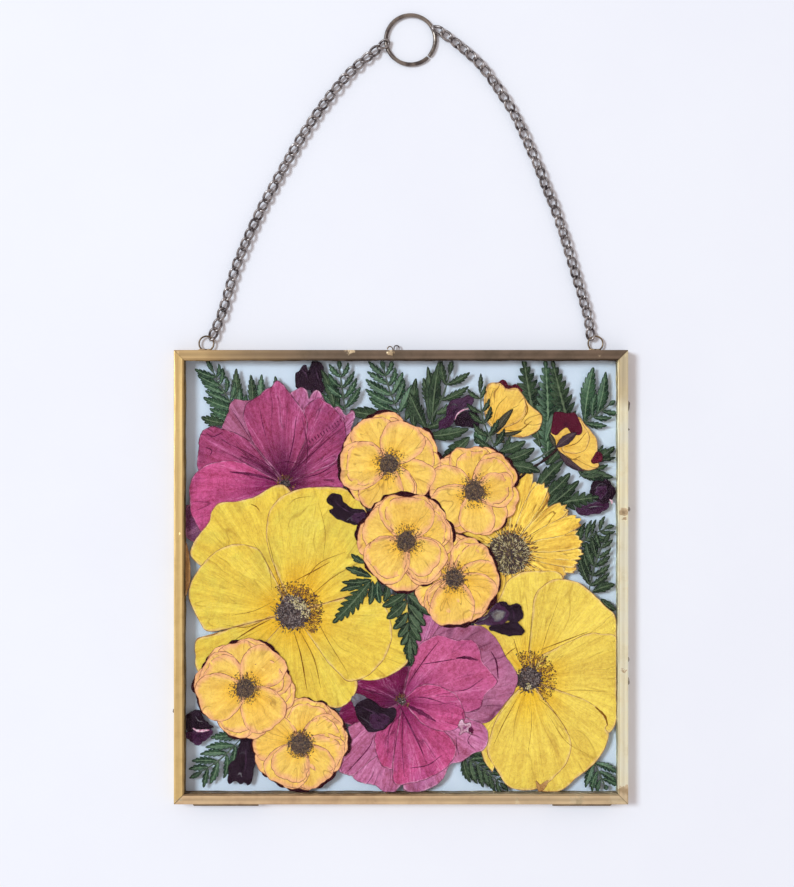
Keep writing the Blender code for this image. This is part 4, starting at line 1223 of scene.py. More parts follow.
# each big flower's petals run from the lowest to the top one: look, then its outer edge round from one flank
bigFlowers = {
    "magenta_flower_upper": dict(
        centre=(-52, 41.5), slot="magenta_petals", ripple=0.32, heart=("discDark", 2.2, 4.6), spots=(),
        arcs=(0, 360), stamens=26,
        petals=[
            ("magentaBrown", [(-86, 60), (-81, 66), (-78.5, 72), (-76.5, 77.5), (-74, 79.8), (-70, 79),
                (-64, 80)]),
            ("violetPetal", [(-62, 22), (-86, 17), (-91, 15), (-96, 17.5), (-97, 25), (-96.5, 32)]),
            ("magentaPale", [(-53, 76), (-50, 82), (-47.5, 84), (-44.5, 84.7), (-42, 83), (-41.2, 79.6),
                (-40.4, 82), (-38.3, 83.6), (-35.5, 81.6), (-33, 76)]),
            ("magentaPale", [(-31, 74), (-29.5, 76.2), (-27, 75.6), (-25.6, 73), (-24, 72.6), (-22, 74.6),
                (-20.4, 72), (-22, 68), (-22.5, 62)]),
            ("magentaDeep", [(-27, 55), (-26.2, 50), (-26.2, 45), (-26.5, 38), (-33, 33), (-44, 30)]),
            ("magentaDeep", [(-68, 61), (-74, 64.5), (-80, 66.3), (-85, 67.3), (-89, 65.8), (-90.6, 62),
                (-91, 56), (-91.8, 51), (-91, 47)]),
            ("magenta", [(-70, 51), (-77, 52), (-84, 51.2), (-90, 48.6), (-94.2, 43.5), (-95, 37),
                (-94.6, 29), (-92, 23.4), (-89.3, 20), (-84, 21), (-72, 25)]),
            ("magentaDeep", [(-43.2, 76), (-40.5, 78.6), (-36.6, 80.4), (-34, 78.6), (-29.5, 75),
                (-26, 70.5), (-24.6, 66), (-25, 60), (-27, 54.5), (-31, 50)]),
            ("magentaDeep", [(-66.5, 60), (-70.5, 70.5), (-70, 77), (-64.5, 81), (-61, 83.8), (-58, 85.4),
                (-55.5, 88), (-51.5, 85), (-48, 80), (-45.5, 76.5), (-42, 69.5), (-43, 60)])],
        folds=[((-52, 46), (-48.5, 60), (-47, 72), 0.8), ((-55, 47), (-68, 55), (-79, 60.5), 0.7),
               ((-56, 43), (-66, 45.6), (-77, 47), 2.2), ((-50, 46), (-40, 55), (-30, 64), 0.9),
               ((-58, 46), (-65, 51), (-72, 54), 1.8), ((-76.5, 75.5), (-71.5, 68), (-66, 59), 0.5),
               ((-45, 44), (-36, 46.5), (-27.5, 52), 0.8), ((-60, 60), (-62, 68), (-63.5, 76), 0.5),
               ((-43, 48), (-42, 58), (-44.5, 72), 0.7), ((-57, 50), (-52, 51.6), (-45.5, 50.4), 0.9),
               ((-80, 64.8), (-84.5, 62.8), (-87.6, 64.6), 0.9), ((-88, 58.2), (-85, 56.6), (-86, 54), 0.8)]),
    "magenta_flower_lower": dict(
        centre=(0.4, -56), slot="magenta_petals", ripple=0.32, heart=("discDark", 1.8, 3.6), spots=(),
        arcs=(0, 360), stamens=20,
        petals=[
            ("magentaWine", [(4, -40), (-8, -42.5), (-19, -46.5), (-24, -54), (-27.5, -60), (-26, -65.5),
                (-14, -68)]),
            ("magentaPale", [(5, -34), (8, -24), (10, -16.6), (13, -17.8), (17, -21.4), (20, -24)]),
            ("magentaBrown", [(9, -36), (17, -23), (25, -22), (35, -22.2), (40.5, -25.6), (44.2, -30),
                (47, -35.5), (49.6, -39.5), (52.6, -45), (51, -51), (47, -56.5), (43, -62), (39, -65.5),
                (32, -66.4)]),
            ("magentaPale", [(25, -62), (30, -63.4), (37.6, -67), (39.2, -72), (37.5, -77.5), (32.5, -79.5),
                (27, -83), (22, -85), (19, -90.6), (13.5, -95), (6, -97), (1, -96)]),
            ("magentaPale", [(0, -94), (-4, -97.2), (-9, -96), (-12, -93.6), (-19, -92.4), (-22.5, -89.4),
                (-28, -87), (-26, -80)]),
            ("magentaPale", [(-24, -67.5), (-23, -73), (-25.5, -81.5), (-27, -87.5), (-22, -89.4),
                (-17, -85.6), (-10, -80)]),
            ("magentaBright", [(3.5, -42), (6, -35), (8.4, -30.4), (16, -26.4), (25, -28.4), (31.5, -28),
                (35, -32), (36.6, -38), (40.5, -43), (43.4, -47.5), (38, -53), (35, -59.6), (30, -61.2)]),
            ("magenta", [(-9, -65.8), (-11.6, -71), (-12, -76), (-10.6, -81), (-8, -85.4), (-3, -86.6),
                (2, -82)]),
            ("magenta", [(8, -60.5), (16, -66.4), (22, -71.6), (25, -77), (24, -81), (20, -86), (13, -90.6),
                (5, -92.6), (-3, -93), (-4, -84)]),
            ("magenta", [(7, -49.4), (12, -48.2), (18.5, -49.4), (24.6, -53), (27.6, -58.5), (29, -63.4),
                (25.6, -68), (17, -69.4), (9, -66)])],
        folds=[((-0.6, -58), (4.5, -68), (10.3, -80.2), 1.3), ((2, -60), (-5, -68), (-6, -80), 0.7),
               ((24.8, -36.6), (29.5, -36.4), (34.6, -37.6), 2.2), ((7.8, -39.6), (16, -38.4), (25.6, -36.8),
                                                                    0.7),
               ((2, -50), (10, -38), (17, -29), 0.7), ((2, -57.5), (9, -61), (15.6, -65), 3.2),
               ((1, -60), (0.5, -75), (1.5, -90), 0.7), ((6, -54), (12, -54.6), (20, -57), 0.8),
               ((23.4, -51.6), (30, -50.4), (37, -45.6), 0.7), ((30.4, -61), (35.6, -58.6), (36.4, -55), 0.8),
               ((40.4, -33.6), (42.8, -38.4), (43.6, -46), 1.2), ((24.6, -70.6), (25, -76), (26.2, -81), 0.5),
               ((-24, -87.6), (-14.6, -77), (-12.2, -71), 0.9), ((32, -70), (30, -74), (33.6, -78), 0.5),
               ((4, -86), (12, -84.6), (18.4, -80.2), 0.8), ((-20, -50), (-12, -52), (-3, -56), 0.9)]),
    "yellow_flower_left": dict(
        centre=(-48.6, -16), slot="yellow_petals", ripple=0.2, heart=("discDark", 8.2, 13.6),
        spots=((0.3, 0.5, 0.34, 64, "discCream"), (0.66, 0.16, 0.3, 60, "discCream"), (-0.2, 0.62, 0.3, 46,
                                                                                       "discGrey"),
               (0, 0.7, 0.26, 24, "discCream"), (0.2, 0, 0.5, 60, "discGrey"), (0.1, -0.5, 0.4, 34,
                                                                                "discGrey"),
               (0.7, -0.2, 0.24, 20, "discCream"), (-0.5, -0.2, 0.5, 40, "discGrey")),
        arcs=(-50, 125), stamens=300,
        petals=[
            ("bigYellow", [(-14, -8), (-6, -8), (1, -9.4), (4, -16), (4.6, -25), (4.4, -32), (3, -38.6),
                (-4, -44), (-12, -46.5), (-22, -46)]),
            ("bigYellow", [(-76, -23), (-86, -26.6), (-91.6, -28), (-92.4, -35), (-91, -43), (-80, -48),
                (-68, -48), (-58, -44)]),
            ("bigYellow", [(-78, -4), (-93.6, 8), (-93.2, 14.5), (-90.6, 19), (-86, 25), (-85.2, 28.8),
                (-81.4, 33), (-74, 33.8), (-67, 35.3), (-62, 38), (-57.6, 40.6), (-53, 41.2), (-49, 37.5),
                (-46, 30)]),
            ("bigYellow", [(-67, -36), (-66, -46), (-57, -53), (-46, -55.4), (-39, -56.2), (-34, -57.6),
                (-29, -59), (-24.5, -57.2), (-21, -53.6), (-19.6, -47), (-24, -38)]),
            ("bigYellow", [(-58.4, 8), (-60.6, 18), (-59.6, 28), (-55.6, 34.2), (-49.5, 38), (-41.5, 40),
                (-33, 40.2), (-25, 39.4), (-18, 34.4), (-14.6, 26), (-12.6, 16), (-9.4, 6), (-9.6, -3),
                (-17, -7.2), (-26, -10.2)]),
            ("bigYellow", [(-26, -9.6), (-16, -7), (-8, -12), (-5, -19), (-4, -26), (-5.8, -34),
                (-9.5, -39.4), (-15.8, -45), (-23.4, -47.2), (-28, -43.6), (-33, -38.5)]),
            ("bigYellow", [(-59.6, 5), (-63, 11.4), (-67.4, 13.8), (-75, 14.6), (-81.4, 12.2), (-88, 7),
                (-93, 0), (-95.4, -8), (-93.6, -14), (-90.6, -20), (-87, -24.6), (-79, -23.8)])],
        folds=[((-47.4, -1.8), (-40, 2), (-31.7, 6.7), 0.8), ((-74.2, -28.2), (-66, -23), (-58.6, -19.2), 1),
               ((-58.4, -17.6), (-69, -22.6), (-80, -21.6), 0.5), ((-45, -25), (-39, -37), (-36, -50), 0.7),
               ((-47.6, -26), (-44.8, -36), (-42.2, -51), 0.9), ((-42, -10), (-30, 0), (-15, 8.5), 0.5),
               ((-54, -6), (-57, 6), (-60, 19), 0.5), ((-44, -3), (-36.6, 6), (-25, 11), 0.5),
               ((-57, -11), (-66, -15.4), (-76, -17.4), 0.45), ((-67.6, 32.6), (-65, 31.4), (-63.4, 29.4),
                                                                0.8),
               ((-58, -6), (-59.4, 4), (-66, 15), 0.5), ((-50.6, 32), (-47, 35), (-40, 36), 0.35),
               ((-38, -19), (-32, -30), (-24, -43), 0.5), ((-35, 8), (-34, 20), (-37, 33), 0.3)]),
    "yellow_flower_right": dict(
        centre=(57.6, -46), slot="yellow_petals", ripple=0.2, heart=("discDark", 6, 12.4),
        spots=((-0.05, -0.55, 0.26, 22, "discCream"), (-0.1, 0.4, 0.5, 40, "discGrey"), (0.3, 0, 0.5, 36,
                                                                                         "discGrey")),
        arcs=(-55, 120), stamens=240,
        petals=[
            ("bigYellowWarm", [(50, -50), (43, -56), (36.6, -64), (35.6, -74), (37, -82), (41, -88)]),
            ("bigYellowWarm", [(49.6, -43), (43.6, -35), (38, -26.6), (33, -21.6), (41, -14), (45, -8),
                (47.5, -2.4), (53, 1.4), (61, 2.6), (70, 2.2), (73, -1), (72, -8)]),
            ("bigYellowWarm", [(57.6, -30), (58.8, -18), (59.6, -9.6), (63, -4.6), (70, -1.2), (79.5, -2.6),
                (86.5, -8), (92, -13.5), (96.4, -18.4), (97, -27), (97, -36)]),
            ("bigYellowWarm", [(63.4, -35), (74, -30), (84, -25.4), (90, -25.6), (97, -28), (97.2, -44),
                (97, -62), (95.4, -68), (91.6, -70.4), (80, -66)]),
            ("bigYellowWarm", [(66, -49), (74, -52.2), (81.5, -54.9), (87, -58), (91, -62), (92.9, -66),
                (91.8, -68.2), (93.2, -71), (91.6, -77), (87, -84), (78.5, -90.8), (72, -96), (64, -97),
                (60, -90)]),
            ("bigYellowWarm", [(49, -54), (43.5, -62.5), (40.5, -70), (38.4, -78.5), (43, -87),
                (48.6, -94.6), (58, -96), (64.4, -94), (69, -90), (74.2, -84), (76.6, -76), (74.4, -69),
                (70, -62)])],
        folds=[((62, -38), (66, -24), (71, -10), 0.3), ((56.6, -38), (57.8, -28), (59, -16), 0.6),
               ((62.6, -33), (73, -29), (84, -24.8), 0.7), ((58, -55), (58.6, -66), (57, -80), 0.3),
               ((52, -55), (46, -66), (41.4, -76), 0.6), ((62, -55), (68.4, -60.6), (74.6, -69), 0.5),
               ((87, -58.4), (91.4, -62.6), (92.8, -67), 1.7), ((50.6, -28), (52, -33), (53.6, -38), 0.6),
               ((46.6, -36), (49, -33.6), (51.8, -31.8), 0.7), ((70, -52), (80, -51), (93, -52), 0.3),
               ((66, -62), (74, -74), (84, -80), 0.35), ((53.6, -56), (51, -66), (50.6, -74), 0.3)]),
}


def makeBigFlower(node, look):
    sheets = Sheets()
    heights = stack(node, len(look["petals"]) + 2)
    for k, (paintName, edge) in enumerate(look["petals"]):
        addPetal(sheets, edge, look["centre"], heights[k], paintName, k * 7 + len(node), look["ripple"], 11,
                 110)
    kind, radius, reach = look["heart"]
    addPatch(sheets, ringOf(look["centre"], radius * 0.84, 14), heights[-1] + 0.012, "heartBase", 7,
             ripple=0.5)
    line = "magentaLine" if look["slot"] == "magenta_petals" else "yellowLine"
    for k, (*points, width) in enumerate(look["folds"]):
        addStrip(sheets, points, width * 0.6, heights[-2] + 0.008, line, seed=k)
    extras = makeHeart(node, look["centre"], heights[-1] + 0.02, radius, reach, kind, len(node) * 3,
                       look["arcs"], look["spots"], look["stamens"])
    return sheets, extras


for node, look in bigFlowers.items():
    sheets, extras = makeBigFlower(node, look)
    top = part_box(node)[1].z / mm + 0.03
    if node == "yellow_flower_left":
        addPatch(sheets, [(-96.9, 14.0), (-95.4, 12.0), (-94.4, 3.0), (-95.2, -5.0), (-96.9, -8.0)], top,
                 "orangeFold", 5)
    if node == "yellow_flower_right":
        addPatch(sheets, [(60.6, -91.6), (62.4, -93.2), (66.0, -91.4), (64.8, -95.0), (62.0, -96.6),
                          (61.0, -95.0)], top, "orangeFold", 6)
    if node == "magenta_flower_upper":  # a row of dark ticks where the edge is pleated
        for k, share in enumerate(np.linspace(0, 1, 13)):
            x, y = -41.0 + 15.4 * share, 60.4 + 10.4 * share
            addStrip(sheets, [(x - 0.5, y + 0.9), (x, y), (x + 0.5, y - 0.8)], 0.55, top, "magentaLine",
                     seed=k, steps=8)
    if node == "magenta_flower_lower":  # a torn pale patch and a dark speck beside it
        addPatch(sheets, [(25.2, -66.4), (27.4, -64.0), (28.6, -66.0), (31.0, -65.2), (31.6, -67.8),
                          (30.0, -69.0),
                          (32.2, -71.2), (28.6, -70.0), (26.2, -71.4), (26.8, -68.4)], top, "tornPetal", 8,
                 ripple=0.4)
        addPatch(sheets, [(30.6, -67.6), (32.4, -68.2), (32.0, -70.4), (30.4, -69.4)], top + 0.01,
                 "magentaLine", 9, ripple=0.4)
    finishFlower(node, node.replace("flower", "bloom"), sheets, extras)
print("big flowers made")


# the small roses: centre, then the petals from the lowest up, each an angle, a reach and a half width
roses = {
    "rose_upper": dict(centre=(-5.4, 50.5), heart=(4.9, 8.2), petals=[
        (215, 21.5, 9), (150, 22.8, 8), (98, 23.6, 9), (32, 23.2, 9), (-4, 23.4, 7), (118, 22.8, 10),
        (14, 21, 9.2),
        (-30, 22, 8.4), (-62, 19.5, 7, 1.6), (-106, 21.8, 10), (182, 22.5, 10.8), (62, 20.5, 9.8)]),
    "rose_upper_right": dict(centre=(32.8, 38.3), heart=(5, 8.6), petals=[
        (60, 20.8, 9), (128, 20.4, 9), (150, 20.6, 9), (235, 20.6, 9), (-20, 20.8, 8), (95, 20.6, 9.8),
        (172, 20.4, 9.8), (212, 20.6, 9.6), (-60, 20.4, 9), (-85, 19.6, 8), (36, 20.8, 9.6), (2, 18, 7.8)]),
    "rose_middle": dict(centre=(2.3, 16.1), heart=(4.8, 8.4), petals=[
        (-94, 23, 9.4), (-60, 22.4, 7.4), (8, 21.6, 9), (46, 21.6, 9.4), (176, 22.2, 9), (122, 22, 8),
        (26, 20.6, 9.4), (150, 20.6, 10.4), (-42, 21, 9.8), (-42, 18, 8.4), (224, 21.6, 10.6),
        (88, 21.4, 12.2, 1.7)]),
    "rose_middle_right": dict(centre=(23.8, -0.6), heart=(4.6, 8), petals=[
        (72, 19.4, 9), (104, 19, 8), (-62, 21.4, 8.4), (160, 18, 8), (215, 19, 8), (52, 20, 8.8), (30, 20, 9),
        (-6, 20.4, 9.4), (-36, 20.4, 9.2), (-120, 19.6, 8), (-92, 21.8, 10)]),
    "rose_lower_left": dict(centre=(-69.8, -50.1), heart=(4.9, 8), petals=[
        (-8, 23, 8.2), (130, 22.6, 8), (76, 22.6, 9), (172, 23.4, 8), (-80, 22.8, 8), (105, 21.6, 9.8),
        (150, 21.6, 9.8), (-106, 22.4, 8.8), (22, 21, 8.8), (52, 21.6, 10), (-50, 22, 10.2),
        (198, 22.4, 10.8)]),
    "rose_lower_middle": dict(centre=(-45.1, -75.1), heart=(5.2, 7), petals=[
        (110, 21.6, 9), (40, 21.6, 9), (-150, 21.8, 8), (-95, 21, 9), (5, 21.8, 8), (75, 21, 10.2),
        (168, 21.4, 10.8), (22, 20.6, 9), (-22, 20.6, 9), (-60, 20.6, 9.8), (-118, 20.6, 10.2), (-118, 17.6,
                                                                                                 8.6)]),
}


def makeRose(node, look):
    sheets = Sheets()
    rnd = random.Random(node)
    centre, petals = look["centre"], look["petals"]
    heights = stack(node, len(petals) + 3)
    for k, (angle, reach, half,
            *_) in enumerate(petals):  # a ragged dark crimson edge shows behind some petals
        if rnd.random() < 0.85:
            outline = petalOutline(centre, angle + rnd.uniform(-9, 9), reach + rnd.uniform(0.4, 1.3),
                                   half * 0.84, 0.6, 0.34, 0, rnd.uniform(0, 1.2), 0.8)
            addPetal(sheets, outline, centre, heights[0] + 0.001 * k, "darkEdge", 50 + k, 0.6, 5, 48)
    for k, (angle, reach, half, *notch) in enumerate(petals):
        outline = petalOutline(centre, angle, reach, half * 1.02, 0.6, 0.34, rnd.uniform(-0.05, 0.05),
                               notch[0] if notch else rnd.uniform(0, 0.9), 0.82)
        addPetal(sheets, outline, centre, heights[k + 1], "rosePetal", k * 5 + len(node), 0.5, 8, 60)
        if rnd.random() < 0.4:  # its edge is doubled where it folds over
            outline = petalOutline(centre, angle + rnd.uniform(-7, 7), reach * rnd.uniform(0.86, 0.94),
                                   half * 0.92, 0.6,
                                   0.34, rnd.uniform(-0.06, 0.06), rnd.uniform(0, 0.6), 0.82)
            addPetal(sheets, outline, centre, heights[k + 1] + 0.004, "rosePetal", k * 5 + 90, 0.5, 8, 60)
    radius, reach = look["heart"][0] * 1.06, look["heart"][1] * 0.95
    addPatch(sheets, ringOf(centre, radius * 0.8, 12), heights[-1] + 0.012, "heartBase", 9, ripple=0.4)
    extras = makeHeart(node, centre, heights[-1] + 0.02, radius, reach, "discBrown", len(node) * 5,
                       stamens=84, grain=0.78, fleck="discTan", beads=1.3)
    finishFlower(node, node + "_petals", sheets, extras)


for node, look in roses.items():
    makeRose(node, look)
print("roses made")


daisy = {
    "centre": (48.2, 11.6), "disc": 10.3, "discCentre": (48.4, 10.2),
    "rays": [  # angle, reach, half width, from the lowest up
        (-56, 32, 3.4), (-44, 31, 3.2), (100, 33, 3.4), (116, 33, 3.4), (135, 33, 3.4), (155, 33, 3.4),
        (175, 33, 3.4),
        (195, 33, 3.4), (215, 33, 3.4), (235, 33, 3.4), (255, 33, 3.4), (275, 33, 3.4), (290, 33, 3.4),
        (88, 36, 3.2),
        (-31, 29, 3.2), (-16, 32.4, 3.0), (17, 32.6, 3.4), (32, 33, 3.6), (50, 28, 3.2), (70, 34, 3.2),
        (-21, 28.6, 3.2),
        (56.5, 32.4, 2.8), (1, 33.2, 3.0), (-10.5, 32.2, 3.1), (-3.6, 34.4, 3.1), (40, 33.2, 3.9),
        (77.4, 38, 3.5), (24, 36, 3.9), (62.6, 34.4, 3.7), (8.4, 34, 3.6)],
}


def rayOutline(centre, angle, reach, half, rnd):  # a long ray whose tip is split into small teeth
    turn = math.radians(angle)
    out, left = np.array((math.cos(turn), math.sin(turn))), np.array((-math.sin(turn), math.cos(turn)))
    teeth = [(0.975, -0.66), (0.93 + rnd.uniform(-0.02, 0.03), -0.34), (1.0, -0.02),
             (0.94 + rnd.uniform(-0.03, 0.02), 0.3), (0.965, 0.62)]
    shape = [(0.12, -0.34), (0.4, -0.78), (0.66, -0.98), (0.86, -0.94), *teeth, (0.84, 0.96), (0.66, 0.98),
             (0.4, 0.78), (0.12, 0.34)]
    lean = rnd.uniform(-0.03, 0.03)
    return [np.array(centre) + out * reach * (u + rnd.uniform(-0.012, 0.012))
            + left * (half * v + lean * u * u * reach) for u, v in shape]


def makeDaisy():
    sheets = Sheets()
    heights = stack("daisy", len(daisy["rays"]) + 8)
    rnd = random.Random(8)
    for k, (angle, reach, half) in enumerate(daisy["rays"]):
        outline = rayOutline(daisy["centre"], angle, reach, half, rnd)
        addPetal(sheets, outline, daisy["centre"], heights[k], "daisyRay", k, 0.14, 7, 52)
    centre, disc, top = daisy["discCentre"], daisy["disc"], heights[-2]
    addPatch(sheets, ringOf(centre, disc * 0.9, 14), top - 0.01, "heartBase", 9, ripple=0.5)
    bits = [("discOlive", 260, 0, disc, 1.2, 0.42, 0.0, 0.5), ("discBrown", 260, 0, disc, 1.1, 0.42, 0.0,
                                                               0.5),
            ("discCream", 210, 0.6, disc * 0.96, 1.5, 0.3, 0.02, 0.45), ("anther", 190, 0, disc, 1.2, 0.32,
                                                                         0.02, 0.7),
            ("discCream", 90, disc * 0.3, disc, 1.1, 0.26, 0.035, 0.6), ("antherBrown", 130, disc * 0.85,
                                                                         disc * 1.3, 2.0, 0.45, 0.03, 0.3)]
    extras = [scatter("daisyBits", centre, top + lift, specks[look], count, low, high, length, width, 0.07,
                      turn, seed=3 + k, arc=(-70, 130) if low > 8 else (0, 360))
              for k, (look, count, low, high, length, width, lift, turn) in enumerate(bits)]
    finishFlower("daisy", "daisy_rays", sheets, extras)


makeDaisy()
print("daisy made")


def makeBuds():  # rosebuds with dark sepals
    sheets = Sheets()
    h = stack("bud_upper", 9)
    addPatch(sheets, [(42.5, 86.5), (46.5, 88), (48, 86), (52, 86.2), (54, 83), (48, 81)], h[0],
             "crimson", 71, ripple=0.4)
    addPatch(sheets, [(39, 86.3), (44.5, 87), (47.3, 84.5), (52.3, 84.5), (55.5, 80.4), (58.2, 76.7),
                      (62.8, 73.1), (63.4, 69.9), (61.9, 65.8), (58.2, 63.5), (52.7, 62.4), (48.2, 64.9),
                      (44.5, 63.5), (40.6, 69), (38.1, 69.9), (37.2, 78.6)], h[1], "budPetal", 72,
             (42.5, 64.5))
    addPatch(sheets, [(39.2, 85.8), (44, 86.6), (47.3, 84.2), (52.3, 84), (55.3, 80.4), (56.4, 76),
                      (54.8, 71.6), (51, 68.4), (46, 67), (41.2, 67.5), (38.6, 70.4), (37.8, 78.6)], h[3],
             "budPetal", 73, (42.5, 65.5))
    for k, (points, width) in enumerate([
            ([(40.2, 69.6), (39.4, 77), (41.6, 84.6)], 0.35), ([(41.4, 69.6), (43.4, 76.4), (47.6, 81)], 0.4),
            ([(44, 67.8), (48, 74), (53, 77)], 0.35), ([(46.4, 65.6), (53, 65.6), (58.8, 69.8)], 0.55),
            ([(55.6, 79.8), (56.8, 74.6), (54, 69.4)], 0.5)]):
        addStrip(sheets, points, width, h[4], "yellowLine", seed=k)
    addLeaf(sheets, (41.6, 63.6), (50.4, 75.2), 4, h[6], "sepal", 2, 0.05, 0.5, 3)
    addLeaf(sheets, (42.6, 63.8), (54.6, 65.6), 2.2, h[5], "sepal", 2, 0.05, -0.8, 4)
    addLeaf(sheets, (42.6, 63.8), (46.6, 60), 3, h[5], "sepal", 2, 0.05, -0.3, 5)
    addStrip(sheets, [(41.2, 64.4), (39, 61.6), (37.6, 59)], 1.5, h[5], "stem", 0.2)
    finishFlower("bud_upper", "rosebud_upper", sheets)

    sheets = Sheets()
    h = stack("bud_right", 9)
    addPatch(sheets, [(79.6, 71.7), (82.4, 68.5), (85.6, 64.9), (88.1, 61.2), (87.9, 55.3), (86, 52.1),
                      (88.8, 51.2), (88.3, 48.9), (83.8, 47.6), (80.1, 48.9), (76.5, 51.7), (71.9, 55.3),
                      (68.7, 59), (66.9, 63.5), (69.6, 66.9), (74.6, 69.2)], h[1], "budPetal", 81, (70.5, 58))
    addPatch(sheets, [(80, 71), (82, 68), (84.6, 63), (83, 57), (78, 55.2), (72.4, 56.4),
                      (74, 61), (78, 66)], h[2], "budPetal", 82, (72, 58))
    addPatch(sheets, [(68.7, 73.6), (70.5, 74), (74.6, 73.3), (78.3, 73.6), (80.3, 69.5), (81.5, 65.8),
                      (80.1, 63.5), (76.5, 64.2), (74.6, 66.7), (71.9, 65.4), (69.6, 63.5), (67.3, 64.9),
                      (67.8, 69.5)], h[4], "burgundy", 83)
    addPatch(sheets, [(87.9, 56), (90.4, 55), (90, 51.7), (86.5, 50.6), (85.4, 52.1)], h[3], "burgundy", 84)
    for k, (points, width) in enumerate([
            ([(74, 54.4), (77, 52.6), (80.6, 54)], 0.5), ([(70, 60.6), (74, 63.2), (77.4, 62.6)], 0.4),
            ([(73, 58), (79, 60), (83.4, 65)], 0.35)]):
        addStrip(sheets, points, width, h[5], "yellowLine", seed=k)
    addLeaf(sheets, (69.4, 57.8), (78.9, 64.6), 4.6, h[7], "sepalPurple", 2, 0.05, 0.4, 6)
    addLeaf(sheets, (70.6, 56.2), (82.4, 47.2), 3.4, h[6], "sepalPurple", 2, 0.05, -1.2, 7)
    addLeaf(sheets, (69.4, 57.8), (66.6, 64.4), 2.6, h[6], "sepal", 2, 0.05, 0.2, 8)
    addStrip(sheets, [(70.4, 57.4), (64, 52), (57, 47.4), (53, 43.8)], 1.2, h[5], "darkStem", 0.2)
    addStrip(sheets, [(70, 58.6), (62, 53.4), (54, 49.6)], 0.9, h[4], "stem", 0.2)
    finishFlower("bud_right", "rosebud_right", sheets)


makeBuds()
